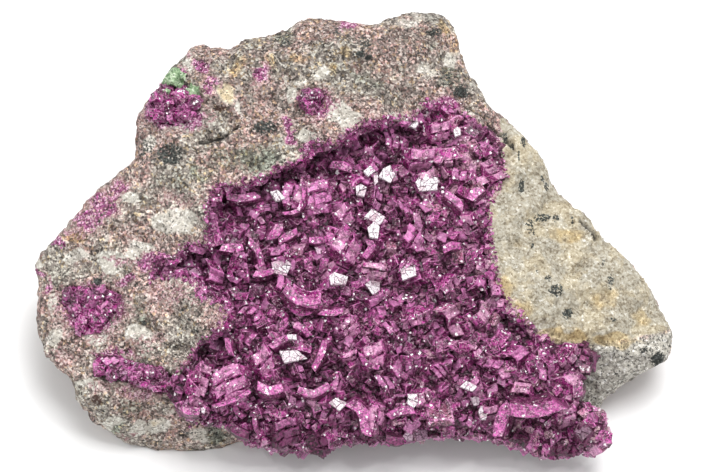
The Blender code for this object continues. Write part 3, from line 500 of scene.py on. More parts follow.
def mesh_object(name, points, triangles, smooth):
    """A new object from points in metres."""
    mesh = bpy.data.meshes.new(name)
    mesh.vertices.add(len(points))
    mesh.vertices.foreach_set("co", np.asarray(points, np.float32).ravel())
    mesh.loops.add(triangles.size)
    mesh.loops.foreach_set("vertex_index", np.asarray(triangles, np.int32).ravel())
    mesh.polygons.add(len(triangles))
    mesh.polygons.foreach_set("loop_start", np.arange(0, triangles.size, 3, dtype=np.int32))
    mesh.polygons.foreach_set("use_smooth", np.broadcast_to(smooth, len(triangles)).copy())
    mesh.update()
    made = bpy.data.objects.new(name, mesh)
    bpy.context.scene.collection.objects.link(made)
    return made


def store_paint(made, name, channels, domain="CORNER"):
    """Stores four values on each corner or point of an object, for its material to read."""
    layer = made.data.attributes.new(name, "FLOAT_COLOR", domain)
    layer.data.foreach_set("color", np.asarray(channels, np.float32).ravel())


WEAR_SIZE = 0.8
TONE_SLOPE = 0.006  # paler by this for each millimetre to the right
# Lift, the painted shade of the crystals: its drop low on each crystal, and its rise with height above
# the hollow's floor
OWN_LIFT = 0.28
SHALLOW_LIFT = 1.05
LIFT_REACH = 2.6
LOWEST_POINT = 0.08


class CrystalHeap:
    """Gathers crystals in the front plane's directions, and makes one piece of them."""

    def __init__(self):
        self.points = []
        self.triangles = []
        self.smooth = []
        self.paint = []
        self.count = 0

    def add(self, form, frames, places, tones, glint_paints=0.0, deep=1.0):
        """Crystals of one form, each with its frame, place, tone, and share of white painted as a
        reflection.

        Lift is 0 where light hardly reaches: low on a crystal and, where deep is 1, low in the hollow;
        the finish paints shade where lift is low.
        """
        places = np.atleast_2d(places)
        number = len(places)
        if not number:
            return
        points = form.points @ np.swapaxes(frames, 1, 2) + places[:, None, :]
        firsts = self.count + np.arange(number)[:, None, None] * len(form.points)
        triangles = form.triangles[None] + firsts
        height = points[:, form.triangles, 2] - crystal_plane(points[:, form.triangles, 1])
        paint = np.zeros((*triangles.shape, 4))
        paint[..., 0] = form.frost_and_sheen[None]
        tones = (tones + TONE_SLOPE * places[:, 0])[:, None, None] + form.depth[None, :, None]
        paint[..., 1] = np.clip(tones, 0, 1)
        paint[..., 2] = np.broadcast_to(glint_paints, number)[:, None, None]
        own = points - points.mean(axis=1, keepdims=True)
        reach = np.abs(own[..., 2]).max(axis=1, keepdims=True)
        # Painted shade: less lift low on each crystal and deep in the hollow
        own_lift = 1 - OWN_LIFT + OWN_LIFT * (own[..., 2] / reach)[:, form.triangles]
        hollow_lift = np.clip((height + CRUST_SINK) / LIFT_REACH, 0, 1)
        paint[..., 3] = own_lift * (SHALLOW_LIFT - deep + deep * hollow_lift)
        self.points.append(points.reshape(-1, 3))
        self.triangles.append(triangles.reshape(-1, 3))
        self.smooth.append(np.full(number * len(form.triangles), form.smooth))
        self.paint.append(paint.reshape(-1, 4))
        self.count += points.shape[0] * points.shape[1]

    def build(self, name, material, wear=0.0):
        points = np.concatenate(self.points)
        if wear:
            points += wear * noise_vectors(points, WEAR_SIZE)
        places = to_part(points)
        places[:, 2] = np.maximum(places[:, 2], LOWEST_POINT * MM)
        made = mesh_object(name, places, np.concatenate(self.triangles), np.concatenate(self.smooth))
        store_paint(made, "crystal_paint", np.concatenate(self.paint))
        return dressed(made, material)


def dressed(made, material):
    made.data.materials.clear()
    made.data.materials.append(material)
    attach(made, BODY)
    return made


def front_triangles(made):
    """Corners of an object's triangles in the front plane's directions, as (n, 3, 3)."""
    mesh = made.data
    mesh.calc_loop_triangles()
    points = np.empty(len(mesh.vertices) * 3, np.float32)
    mesh.vertices.foreach_get("co", points)
    corners = np.empty(len(mesh.loop_triangles) * 3, np.int32)
    mesh.loop_triangles.foreach_get("vertices", corners)
    return to_front(points.reshape(-1, 3))[corners.reshape(-1, 3)]


def strewn(corners, number, chance):
    """Places strewn evenly over triangles, and the way each one faces."""
    normals = np.cross(corners[:, 1] - corners[:, 0], corners[:, 2] - corners[:, 0])
    areas = np.linalg.norm(normals, axis=1)
    chosen = chance.choice(len(corners), number, p=areas / areas.sum())
    share = np.sort(chance.random((number, 2)), axis=1)
    weights = np.stack((share[:, 0], share[:, 1] - share[:, 0], 1 - share[:, 1]), axis=1)
    places = (corners[chosen] * weights[:, :, None]).sum(axis=1)
    return places, normals[chosen] / areas[chosen, None]


def spaced(places, spacing):
    """Numbers of the places that keep their distance from each other, in order."""
    kept = {}
    chosen = []
    for number, place in enumerate(places):
        cell = tuple(np.floor(place / spacing).astype(int))
        near = (
            other
            for du in (-1, 0, 1) for dv in (-1, 0, 1) for dw in (-1, 0, 1)
            for other in kept.get((cell[0] + du, cell[1] + dv, cell[2] + dw), ())
        )
        if all(np.linalg.norm(place - other) >= spacing for other in near):
            kept.setdefault(cell, []).append(place)
            chosen.append(number)
    return np.array(chosen, int)


MOSTLY_SMALL = 1.8
DRUSE_TONE = 0.94
GREYISH_TONES = (0.80, 1.0)
GREYISH_SHARE = 0.8


def add_druse(heap, forms, places, ways, sizes, chance, sink, deep=1.0):
    """Crystals of mixed turns, seated on places that face given ways; most are of the small sizes."""
    number = len(places)
    length = sizes[0] + (sizes[1] - sizes[0]) * chance.random(number) ** MOSTLY_SMALL
    breadth = length * chance.uniform(0.6, 0.95, number)
    depth = length * chance.uniform(0.6, 1.0, number)
    frames = facing(ways) @ crystal_frames(
        length, breadth, depth, chance.uniform(0, 360, number), chance.uniform(-70, 70, number),
        chance.uniform(-40, 40, number),
    )
    seats = places + ways * (length * sink)[:, None]
    tones = chance.random(number) * DRUSE_TONE
    zones = marked(GREYISH_ZONES, places[:, 0], places[:, 1])
    greyish = chance.random(number) < GREYISH_SHARE * zones
    tones[greyish] = chance.uniform(*GREYISH_TONES, greyish.sum())
    kinds = chance.integers(0, len(forms), number)
    for kind, form in enumerate(forms):
        own = kinds == kind
        heap.add(form, frames[own], seats[own], tones[own], deep=deep)


# Shader sums as plain expressions

class Wire:
    """One output of a material's nodes; sums on it add the Math nodes they need."""

    def __init__(self, finish, socket):
        self.finish = finish
        self.socket = socket

    def maths(self, operation, first, second):
        return self.finish.node("ShaderNodeMath", {"operation": operation}, {0: first, 1: second})

    def __add__(self, other):
        return self.maths("ADD", self, other)

    def __radd__(self, other):
        return self.maths("ADD", other, self)

    def __sub__(self, other):
        return self.maths("SUBTRACT", self, other)

    def __rsub__(self, other):
        return self.maths("SUBTRACT", other, self)

    def __mul__(self, other):
        return self.maths("MULTIPLY", self, other)

    def __rmul__(self, other):
        return self.maths("MULTIPLY", other, self)


class Finish:
    """A material and the nodes that make its looks."""

    def __init__(self, name):
        self.material = bpy.data.materials.new(name)
        self.material.use_nodes = True
        self.tree = self.material.node_tree
        self.shader = self.tree.nodes["Principled BSDF"]
        coordinates = self.node("ShaderNodeTexCoord", output="Object")
        self.place = self.node(
            "ShaderNodeVectorMath", {"operation": "SCALE"}, {0: coordinates, "Scale": 1 / MM}
        )

    def node(self, kind, settings=None, sockets=None, output=0):
        made = self.tree.nodes.new(kind)
        for name, value in (settings or {}).items():
            setattr(made, name, value)
        for name, value in (sockets or {}).items():
            self.feed(made.inputs[name], value)
        return Wire(self, made.outputs[output])

    def feed(self, socket, value):
        if isinstance(value, Wire):
            self.tree.links.new(value.socket, socket)
        else:
            socket.default_value = value

    def set(self, **sockets):
        """Values and wires of the shader's own sockets, by their names in lower case."""
        for name, value in sockets.items():
            found = [s for s in self.shader.inputs if s.name.lower().replace(" ", "_") == name]
            self.feed(found[0], value)
        return self.material

    def channels(self, name):
        """The four painted values of the mesh."""
        source = self.tree.nodes.new("ShaderNodeAttribute")
        source.attribute_name = name
        split = self.tree.nodes.new("ShaderNodeSeparateColor")
        self.tree.links.new(source.outputs["Color"], split.inputs[0])
        outputs = (*split.outputs, source.outputs["Alpha"])
        return [Wire(self, socket) for socket in outputs]

    def mix(self, share, first, second, blend="MIX"):
        return self.node(
            "ShaderNodeMix", {"data_type": "RGBA", "blend_type": blend},
            {0: share, 6: colour(first), 7: colour(second)}, 2,
        )

    def tint(self, share, body, shade):
        return self.mix(share, body, shade, "MULTIPLY")

    def ramp(self, value, stops):
        """A colour for each value, from stops of (place, colour)."""
        made = self.node("ShaderNodeValToRGB", {}, {0: value})
        elements = made.socket.node.color_ramp.elements
        for number, (place, shade) in enumerate(stops):
            element = elements[number] if number < len(elements) else elements.new(place)
            element.position = place
            element.color = colour(shade)
        return made

    def step(self, low, high, value):
        return self.node(
            "ShaderNodeMapRange", {"interpolation_type": "SMOOTHSTEP"},
            {"Value": value, "From Min": low, "From Max": high},
        )

    def cloud(self, size, detail, rough, warp=0.0):
        """Noise with features of about a size in millimetres."""
        return self.node(
            "ShaderNodeTexNoise", {},
            {"Vector": self.place, "Scale": 1 / size, "Detail": detail, "Roughness": rough,
             "Distortion": warp},
        )

    def grains(self, size):
        """Three random values for each grain of about a size in millimetres."""
        picked = self.node(
            "ShaderNodeTexVoronoi", {}, {"Vector": self.place, "Scale": 1 / size}, "Color",
        )
        split = self.node("ShaderNodeSeparateColor", {}, {0: picked})
        return [Wire(self, socket) for socket in split.socket.node.outputs]

    def facets(self, size):
        """Height of small broken faces, each one a plane with a tilt of its own."""
        centre = self.node(
            "ShaderNodeTexVoronoi", {}, {"Vector": self.place, "Scale": 1 / size}, "Position",
        )
        random_way = Wire(self, centre.socket.node.outputs["Color"])
        away = self.node("ShaderNodeVectorMath", {"operation": "SUBTRACT"}, {0: self.place, 1: centre})
        tilt = self.node(
            "ShaderNodeVectorMath", {"operation": "SUBTRACT"}, {0: random_way, 1: (0.5, 0.5, 0.5)}
        )
        return self.node(
            "ShaderNodeVectorMath", {"operation": "DOT_PRODUCT"}, {0: away, 1: tilt}, "Value"
        )

    def bump(self, height, depth):
        return self.node("ShaderNodeBump", {}, {"Height": height, "Distance": depth * MM})


def colour(value):
    return (*value, 1.0) if isinstance(value, tuple) and len(value) == 3 else value


# Finishes

# Colours of grains, darkest first, as (share of the scale, colour)
ROCK_GREYS = (
    (0.06, (0.040, 0.035, 0.032)), (0.22, (0.130, 0.110, 0.102)), (0.40, (0.235, 0.202, 0.190)),
    (0.58, (0.335, 0.295, 0.276)), (0.76, (0.480, 0.440, 0.412)), (0.93, (0.780, 0.755, 0.715)),
)
PALE_GRAINS = (
    (0.05, (0.26, 0.235, 0.20)), (0.30, (0.50, 0.47, 0.41)), (0.65, (0.66, 0.63, 0.56)),
    (0.95, (0.88, 0.87, 0.83)),
)
CREAM_GRAINS = (
    (0.04, (0.17, 0.140, 0.095)), (0.22, (0.30, 0.265, 0.200)), (0.50, (0.415, 0.380, 0.305)),
    (0.78, (0.51, 0.485, 0.410)), (0.98, (0.76, 0.75, 0.71)),
)
BROKEN_GRAINS = (
    (0.05, (0.07, 0.065, 0.058)), (0.24, (0.25, 0.235, 0.205)), (0.50, (0.43, 0.405, 0.350)),
    (0.78, (0.60, 0.57, 0.51)), (0.95, (0.90, 0.89, 0.86)),
)
DULL_PINKS = ((0.1, (0.20, 0.090, 0.095)), (0.5, (0.40, 0.25, 0.25)), (0.9, (0.62, 0.48, 0.47)))
RICH_PINKS = (
    (0.08, (0.08, 0.006, 0.045)), (0.40, (0.26, 0.036, 0.155)), (0.70, (0.48, 0.15, 0.320)),
    (0.95, (0.84, 0.60, 0.720)),
)
PALE_GREENS = ((0.1, (0.10, 0.17, 0.085)), (0.5, (0.27, 0.40, 0.22)), (0.9, (0.60, 0.68, 0.52)))
SOOT = ((0.005, 0.008, 0.007), (0.090, 0.105, 0.095))
SPECK_BLACK = (0.035, 0.036, 0.034)
RUST = (0.045, 0.018, 0.012)
CRACK_DARK = (0.012, 0.010, 0.009)
# Colour of the painted shade in the rock's hollows
HOLLOW_DARK = (0.10, 0.082, 0.072)
ROCK_BUMP = 0.80

# Magentas by tone; the last three are greyish
MAGENTAS = (
    (0.0, (0.085, 0.001, 0.040)), (0.28, (0.22, 0.004, 0.120)), (0.55, (0.43, 0.018, 0.245)),
    (0.74, (0.64, 0.090, 0.415)), (0.80, (0.40, 0.11, 0.20)), (0.90, (0.58, 0.34, 0.40)),
    (1.0, (0.40, 0.31, 0.26)),
)
CLOUDY_PINK = (0.68, 0.15, 0.46)
INNER_DARK = (0.055, 0.002, 0.024)
FLECK_DARK = (0.026, 0.003, 0.014)
DUSTS = ((0.64, 0.22, 0.44), (0.74, 0.56, 0.60))
EDGE_PINK = (0.82, 0.33, 0.64)
# Greyish and white of the painted reflections on faces turned to the light
GLINT_WHITES = ((0.34, 0.22, 0.28), (0.88, 0.85, 0.87))
DEEP_SHADE = (0.27, 0.15, 0.225)
SPARK_WHITE = (0.97, 0.93, 0.95)
CRYSTAL_BUMP = 0.75


def rock_finish():
    """Speckled matrix: grains of many greys, with its spots, stains, washes and flakes, and painted
    shade in its hollows and towards its top.
    """
    finish = Finish("speckled_matrix")
    step = finish.step
    cream, pink, dark, green = finish.channels("rock_marks")
    fresh, pale, crack, painted_hollow_shade = finish.channels("rock_wear")
    ochre, grey, rust, upper = finish.channels("rock_stains")
    patches = finish.cloud(7.0, 4, 0.55)
    zones = finish.cloud(4.5, 4, 0.6)
    veil = finish.cloud(5.0, 5, 0.62)
    uneven = finish.cloud(2.0, 5, 0.62) - 0.5
    ink = finish.cloud(0.42, 4, 0.65, 0.3)
    fine = finish.cloud(0.30, 3, 0.7)
    grain, kind, glint = finish.grains(0.38)
    small, small_kind, _ = finish.grains(0.22)
    speckle = 0.62 * grain + 0.38 * small
    body = finish.ramp(1.25 * speckle + 0.35 * uneven - 0.10, ROCK_GREYS)
    tinted = finish.mix(step(0.40, 0.60, patches), (0.94, 0.93, 0.87), (1.06, 0.90, 0.88))
    body = finish.tint(1.0, body, tinted)
    # Painted shade, darker towards the top
    body = finish.tint(upper, body, (0.84, 0.84, 0.84))
    body = finish.tint(step(0.56, 0.40, zones) * 0.45, body, (0.66, 0.70, 0.66))
    body = finish.tint(step(0.54, 0.68, zones) * 0.45, body, (1.6, 1.54, 1.42))
    rosy = step(0.70, 0.76, kind) * step(0.34, 0.58, patches)
    body = finish.tint(rosy * 0.7, body, (1.05, 0.74, 0.73))
    body = finish.tint(step(0.16, 0.10, kind) * 0.8, body, (1.15, 0.96, 0.66))
    body = finish.tint(step(0.25, 0.75, grey + 0.8 * uneven) * 0.85, body, (0.66, 0.78, 0.71))
    paleness = step(0.25, 0.60, pale + 0.9 * uneven)
    body = finish.mix(paleness * 0.85, body, finish.ramp(speckle, PALE_GRAINS))
    cloudy = 0.95 * speckle + 0.95 * uneven + 0.60 * (veil - 0.5) - 0.02
    cream_body = finish.ramp(cloudy, CREAM_GRAINS)
    cream_body = finish.tint(step(0.46, 0.60, veil) * 0.7, cream_body, (1.06, 0.97, 0.80))
    body = finish.mix(step(0.15, 0.65, cream), body, cream_body)
    body = finish.mix(fresh, body, finish.ramp(speckle + 0.30 * uneven, BROKEN_GRAINS))
    body = finish.tint(step(0.20, 0.75, ochre + 0.9 * uneven) * 0.75, body, (1.05, 0.86, 0.52))
    pinks = (finish.ramp(small, DULL_PINKS), finish.ramp(small, RICH_PINKS))
    wash = finish.mix(step(0.45, 0.85, pink + 0.5 * uneven), *pinks)
    washed = step(-0.06, 0.06, pink + 0.9 * uneven - kind)
    body = finish.mix(washed * step(0.08, 0.25, pink) * 0.9, body, wash)
    greened = step(0.50, 0.56, green + 0.55 * (finish.cloud(0.9, 3, 0.6) - 0.5))
    body = finish.mix(greened, body, finish.ramp(speckle, PALE_GREENS))
    soot = finish.mix(step(0.55, 0.95, small), *SOOT)
    body = finish.mix(step(0.0, 0.08, ink + 0.39 * dark - 0.79) * 0.97, body, soot)
    specks = step(0.93, 0.97, small_kind + 0.25 * (patches - 0.5) + 0.08 * dark)
    body = finish.mix(specks * (0.85 - 0.7 * cream), body, SPECK_BLACK)
    body = finish.mix(step(0.0, 0.06, ink + 0.32 * rust - 0.74) * 0.95, body, RUST)
    body = finish.mix(crack, body, CRACK_DARK)
    # Painted shade in the hollows of the relief
    body = finish.mix(0.65 * step(0.0, 1.0, painted_hollow_shade), body, HOLLOW_DARK)
    height = (finish.facets(0.8) + 0.5 * finish.facets(0.35) + 0.10 * fine) * (1.0 - 0.2 * cream)
    return finish.set(
        base_color=body, roughness=0.82 - 0.45 * step(0.88, 0.95, glint),
        normal=finish.bump(height, ROCK_BUMP),
    )


def dolomite_finish():
    """Magenta crystal: dark and speckled within, paler on rims and satin faces through frost and painted
    sheen; with painted shade, painted white reflections and painted sparkles.
    """
    finish = Finish("magenta_dolomite")
    step = finish.step
    frost_and_sheen, tone, glint_paint, lift = finish.channels("crystal_paint")
    mottle = finish.cloud(1.1, 4, 0.65)
    fine = finish.cloud(0.24, 3, 0.7)
    fleck, kind, _ = finish.grains(0.21)
    glint = finish.grains(0.33)[2]
    body = finish.ramp(tone, MAGENTAS)
    body = finish.mix(step(0.48, 0.72, mottle) * 0.45, body, CLOUDY_PINK)
    body = finish.mix(step(0.54, 0.38, mottle) * 0.80, body, INNER_DARK)
    body = finish.mix(step(0.38, 0.24, fleck) * 0.80, body, FLECK_DARK)
    dust = step(0.74, 0.82, fleck) * (0.34 + 0.45 * step(0.4, 0.85, tone))
    body = finish.mix(dust, body, finish.mix(kind, *DUSTS))
    # Frost and painted sheen: paler rims and tops
    edges = frost_and_sheen * (0.30 + 0.70 * step(0.33, 0.56, mottle))
    body = finish.mix(edges * 0.80, body, EDGE_PINK)
    pitted = step(0.42, 0.50, 0.75 * fine + 0.25 * mottle)
    # Painted reflection: faces turned to the key light are painted white
    body = finish.mix(glint_paint, body, finish.mix(pitted, *GLINT_WHITES))
    # Painted shade: darker where lift is low, low on each crystal and deep in the hollow
    body = finish.tint(1.0, body, finish.mix(step(0.0, 0.8, lift), DEEP_SHADE, (1.0, 1.0, 1.0)))
    # Painted sparkles: small white glints where light reaches
    spark = step(0.970, 0.978, glint) * step(0.2, 0.5, lift)
    body = finish.mix(spark, body, SPARK_WHITE)
    height = finish.facets(0.55) + 0.7 * finish.facets(0.28) + 0.06 * fine
    return finish.set(
        base_color=body, roughness=0.16 + 0.30 * step(0.40, 0.70, mottle) + 0.3 * (1 - lift),
        ior=1.50, coat_weight=0.35 * lift, coat_roughness=0.08,
        normal=finish.bump(height, CRYSTAL_BUMP),
    )


def floor_finish():
    return Finish("pale_floor").set(base_color=(0.86, 0.86, 0.86, 1.0), roughness=0.9)


# Rock

WELD_REACH = 0.002
ROCK_VOXEL = 0.46
ROCK_SMOOTHING = 9
FLAT_BASE = 0.35
BASE_RISE = (0.2, 1.6)  # heights between which the relief sets in
CHIP_SIZES = ((6.0, 0.16), (2.6, 0.20), (1.3, 0.16))  # breadth and tilt of broken facets
CHIP_PICK = 7.3  # spreads the cells' centres, so that each cell gets a tilt of its own
GRAIN_SIZE = 1.0
GRAIN_HEIGHT = 0.16
ROCK_SWELL = 0.12
FRONT_SIDE = (-0.1, 0.35)
EDGE_WANDER = 1.2
EDGE_WANDER_SIZE = 2.5
CRACK_WANDER = 0.4
CRACK_CORE = 0.1
CRACK_DEPTH = 0.7
HOLLOW_DEPTH = -0.9
HOLLOW_SHADE = 0.6
HALO_REACH = 1.0
HALO_STRENGTH = 0.75
HALO_LESS = (17.0, 24.0, 0.45)  # from and to which u it weakens, and by what share
FACE_EDGE = (-0.4, 0.6)
FACE_WANDER = 0.6
UPPER_ROCK = (4.0, 24.0)  # v between which painted shade darkens the rock upward


def solid_copy(node, name, voxel, smoothing):
    """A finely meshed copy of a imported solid."""
    made = bpy.data.objects.new(name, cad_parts[node].data.copy())
    bpy.context.scene.collection.objects.link(made)
    weld = made.modifiers.new("Weld", "WELD")
    weld.merge_threshold = WELD_REACH * MM
    remesh = made.modifiers.new("Fine mesh", "REMESH")
    remesh.mode = "VOXEL"
    remesh.voxel_size = voxel * MM
    softening = made.modifiers.new("Softer edges", "SMOOTH")
    softening.factor = 0.5
    softening.iterations = smoothing
    evaluated = made.evaluated_get(bpy.context.evaluated_depsgraph_get())
    fine = bpy.data.meshes.new_from_object(evaluated)
    made.modifiers.clear()
    made.data = fine
    return made


def chipped(place, size, tilt):
    """Height of broken facets: each cell of the stone is a tilted plane of its own."""
    _, centres = noise.voronoi(place / size)
    slope = noise.noise_vector(centres[0] * CHIP_PICK)
    return (place / size - centres[0]).dot(slope) * size * tilt


def rock_relief(place):
    relief = sum(chipped(place, size, tilt) for size, tilt in CHIP_SIZES)
    return relief + noise.fractal(place / GRAIN_SIZE, 0.9, 2.1, 2) * GRAIN_HEIGHT


def move_vertices(made, points):
    made.data.vertices.foreach_set("co", points.astype(np.float32).ravel())
    made.data.update()


def vertex_arrays(made):
    mesh = made.data
    points = np.empty(len(mesh.vertices) * 3, np.float32)
    mesh.vertices.foreach_get("co", points)
    normals = np.empty(len(mesh.vertices) * 3, np.float32)
    mesh.vertices.foreach_get("normal", normals)
    return points.reshape(-1, 3).astype(float), normals.reshape(-1, 3).astype(float)


def make_rock():
    rock = solid_copy("matrix_rock", "grey_matrix", ROCK_VOXEL, ROCK_SMOOTHING)
    points, normals = vertex_arrays(rock)
    relief = np.array([rock_relief(Vector(point / MM)) for point in points])
    above_base = step_between(*BASE_RISE, points[:, 2] / MM)
    u, v, _ = to_front(points).T
    strays = noise_vectors(points / MM, EDGE_WANDER_SIZE)
    u_read = u + EDGE_WANDER * strays[:, 0]
    v_read = v + EDGE_WANDER * strays[:, 1]
    u_fine = u + CRACK_WANDER * strays[:, 1]
    v_fine = v + CRACK_WANDER * strays[:, 2]
    off_crack = np.min([line_distance(line, u_fine, v_fine) for line in CRACK_LINES], axis=0)
    crack = step_between(CRACK_HALF_WIDTH, CRACK_CORE, off_crack)
    front = step_between(*FRONT_SIDE, normals @ AXES[2])
    push = (relief + ROCK_SWELL) * above_base - CRACK_DEPTH * crack * front
    points += normals * push[:, None] * MM
    flat = points[:, 2] < FLAT_BASE * MM
    points[flat, 2] = 0.0
    move_vertices(rock, points)
    from_field = depth_inside(FIELD, u, v)
    halo = HALO_STRENGTH * np.exp(np.minimum(from_field + strays[:, 2], 0) / HALO_REACH)
    *less_from_to, less = HALO_LESS
    halo *= 1 - less * step_between(*less_from_to, u)
    wander = FACE_WANDER * strays[:, 0]
    cream = step_between(*FACE_EDGE, depth_inside(CREAM_FACE, u, v) + wander)
    fresh = step_between(*FACE_EDGE, depth_inside(FRESH_BREAK, u, v) + wander)
    paints = {
        "rock_marks": (
            front * cream, front * np.maximum(marked(PINK_MARKS, u_read, v_read), halo),
            front * marked(DARK_MARKS, u, v), front * marked(GREEN_MARKS, u, v),
        ),
        "rock_wear": (
            front * fresh, front * marked(PALE_MARKS, u_read, v_read), front * crack,
            # Painted shade where the relief sinks in
            step_between(0.0, HOLLOW_DEPTH, relief) * HOLLOW_SHADE,
        ),
        "rock_stains": (
            front * marked(OCHRE_MARKS, u_read, v_read), front * marked(GREY_MARKS, u_read, v_read),
            # Rust, then the painted shade towards the top
            front * marked(RUST_MARKS, u, v), step_between(*UPPER_ROCK, v),
        ),
    }
    for name, strengths in paints.items():
        store_paint(rock, name, np.stack(strengths, axis=1), "POINT")
    rock.data.polygons.foreach_set("use_smooth", np.ones(len(rock.data.polygons), bool))
    dressed(rock, rock_finish())
    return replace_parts(rock, "matrix_rock")


FLAKE_SEED = 51
FLAKE_LOBES = 11
FLAKE_LOBE_REACHES = ((0.45, 0.75), (0.85, 1.15))
FLAKE_NEAR = 0.8
FLAKE_RISE = 0.7
FLAKE_TILT = 0.2
FLAKE_SAG = 0.05
FLAKE_CROWN = 0.15
FLAKE_THICKNESS = 0.9
FLAKE_PAINT = {"rock_marks": (0, 0, 0, 1), "rock_wear": (0, 0, 0, 0), "rock_stains": (0, 0, 0, 0)}


def make_green_flakes(rock, crust):
    """Thin, lobed flakes of pale green over the upper left crust."""
    chance = random.Random(FLAKE_SEED)
    corners = np.concatenate((front_triangles(rock), front_triangles(crust)))
    centres = corners.mean(axis=1)
    points = []
    triangles = []
    for flake_u, flake_v, size in FLAKES:
        near = np.hypot(centres[:, 0] - flake_u, centres[:, 1] - flake_v) < FLAKE_NEAR
        top = centres[near][:, 2].max() + FLAKE_RISE
        first = len(points)
        tilt_u = chance.uniform(-FLAKE_TILT, FLAKE_TILT)
        tilt_v = chance.uniform(-FLAKE_TILT, FLAKE_TILT)
        for height in (0.0, -FLAKE_THICKNESS):
            lobes = random.Random(first)
            for number in range(FLAKE_LOBES):
                angle = 2 * math.pi * number / FLAKE_LOBES
                reach = size / 2 * lobes.uniform(*FLAKE_LOBE_REACHES[number % 2])
                across = reach * math.cos(angle)
                along = reach * math.sin(angle)
                rise = height + tilt_u * across + tilt_v * along - FLAKE_SAG * reach * reach
                points.append((flake_u + across, flake_v + along, top + rise))
            points.append((flake_u, flake_v, top + height + FLAKE_CROWN))
        low = first + FLAKE_LOBES + 1
        for number in range(FLAKE_LOBES):
            after = (number + 1) % FLAKE_LOBES
            triangles.append((first + FLAKE_LOBES, first + number, first + after))
            triangles.append((low + FLAKE_LOBES, low + after, low + number))
            triangles.append((first + number, low + number, low + after))
            triangles.append((first + number, low + after, first + after))
    made = mesh_object("green_flakes", to_part(np.array(points)), np.array(triangles), False)
    for name, channels in FLAKE_PAINT.items():
        store_paint(made, name, np.tile(channels, (len(points), 1)), "POINT")
    return dressed(made, rock.data.materials[0])


# Crust in the wide hollow

BED_SEED = 5
BED_SPACING = 0.6
BED_JITTER = 0.2
BED_MARGIN = 0.6
BED_GRAIN = 0.9
BED_ROUGHNESS = 0.35
# Frost, tone, glint paint and lift of the bed: a dark tone, and lift 0, which paints it in full shade
BED_PAINT = (0.0, 0.15, 0.0, 0.0)
SAME_PLACE = 1e-5
ON_OUTLINE = -0.05


def along_outline(outline, spacing):
    """Points along a closed outline, evenly spaced on each side."""
    points = []
    for (u0, v0), (u1, v1) in zip(outline, outline[1:] + outline[:1]):
        steps = max(1, round(math.hypot(u1 - u0, v1 - v0) / spacing))
        for step in range(steps):
            points.append((u0 + (u1 - u0) * step / steps, v0 + (v1 - v0) * step / steps))
    return points


def signed_area(outline):
    pairs = zip(outline, outline[1:] + outline[:1])
    return sum(u0 * v1 - u1 * v0 for (u0, v0), (u1, v1) in pairs) / 2


def make_bed(material):
    """The massive part of the crust, from which its crystals stand."""
    rim = along_outline(FIELD, BED_SPACING)
    low_u, low_v = np.min(FIELD, axis=0)
    high_u, high_v = np.max(FIELD, axis=0)
    chance = np.random.default_rng(BED_SEED)
    u, v = np.meshgrid(np.arange(low_u, high_u, BED_SPACING), np.arange(low_v, high_v, BED_SPACING))
    u = (u + chance.uniform(-BED_JITTER, BED_JITTER, u.shape)).ravel()
    v = (v + chance.uniform(-BED_JITTER, BED_JITTER, v.shape)).ravel()
    within = depth_inside(FIELD, u, v) > BED_SPACING * BED_MARGIN
    flat = [Vector(point) for point in (*rim, *zip(u[within], v[within]))]
    edges = [(number, (number + 1) % len(rim)) for number in range(len(rim))]
    flat, _, faces = delaunay_2d_cdt(flat, edges, [], 1, SAME_PLACE, False)[:3]
    ground = np.array(flat)
    surface = np.array([crust_surface(*point) for point in ground])
    seeds = [Vector((*point, 4.0)) / BED_GRAIN for point in ground]
    rough = np.array([noise.fractal(seed, 0.8, 2.0, 2) for seed in seeds])
    top = np.column_stack((ground, surface + rough * BED_ROUGHNESS))
    bottom = np.column_stack((ground, surface - CRUST_THICKNESS + rough * BED_ROUGHNESS))
    faces = np.array(faces)
    faces = faces[depth_inside(FIELD, *ground[faces].mean(axis=1).T) > ON_OUTLINE]
    corners = ground[faces]
    first = corners[:, 1] - corners[:, 0]
    second = corners[:, 2] - corners[:, 0]
    backward = first[:, 0] * second[:, 1] < first[:, 1] * second[:, 0]
    faces[backward] = faces[backward][:, ::-1]
    count = len(ground)
    ends = np.array(edges)
    walls = np.concatenate((
        np.column_stack((ends[:, 0], ends[:, 0] + count, ends[:, 1] + count)),
        np.column_stack((ends[:, 0], ends[:, 1] + count, ends[:, 1])),
    ))
    if signed_area(rim) < 0:
        walls = walls[:, ::-1]
    triangles = np.concatenate((faces, faces[:, ::-1] + count, walls))
    bed = mesh_object("dolomite_bed", to_part(np.concatenate((top, bottom))), triangles, False)
    store_paint(bed, "crystal_paint", np.tile(BED_PAINT, (triangles.size, 1)))
    dressed(bed, material)
    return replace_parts(bed, "dolomite_crystal_field")


def scattered(points, taken, tries, spacing, chance):
    """Seeded random places inside an outline, the same ones as in the part's source."""
    low_u, low_v = np.min(points, axis=0)
    high_u, high_v = np.max(points, axis=0)
    places = list(taken)
    found = []
    for _ in range(tries):
        u = chance.uniform(low_u, high_u)
        v = chance.uniform(low_v, high_v)
        if depth_inside(points, np.array([u]), np.array([v]))[0] <= 0:
            continue
        if min((math.hypot(u - a, v - b) for a, b in places), default=spacing) >= spacing:
            places.append((u, v))
            found.append((u, v))
    return found


TYPICAL_LENGTH = 3.0
SCENE_DEPTH = 0.8  # how deep they are, as a share of those in the part's source


def seated(heap, form, u, v, length, breadth, heading, lean, turn, tone):
    """One crystal of the part's source, with a finished form."""
    depth = CRYSTAL_DEPTH * length / TYPICAL_LENGTH * SCENE_DEPTH
    w = crust_surface(u, v) + CRYSTAL_STAND * breadth
    frames = crystal_frames(length, breadth, depth, heading, lean, turn)
    heap.add(form, frames, (u, v, w), tone)


BAR_STATIONS = (0.0, 0.30, 0.50, 0.70, 1.0)
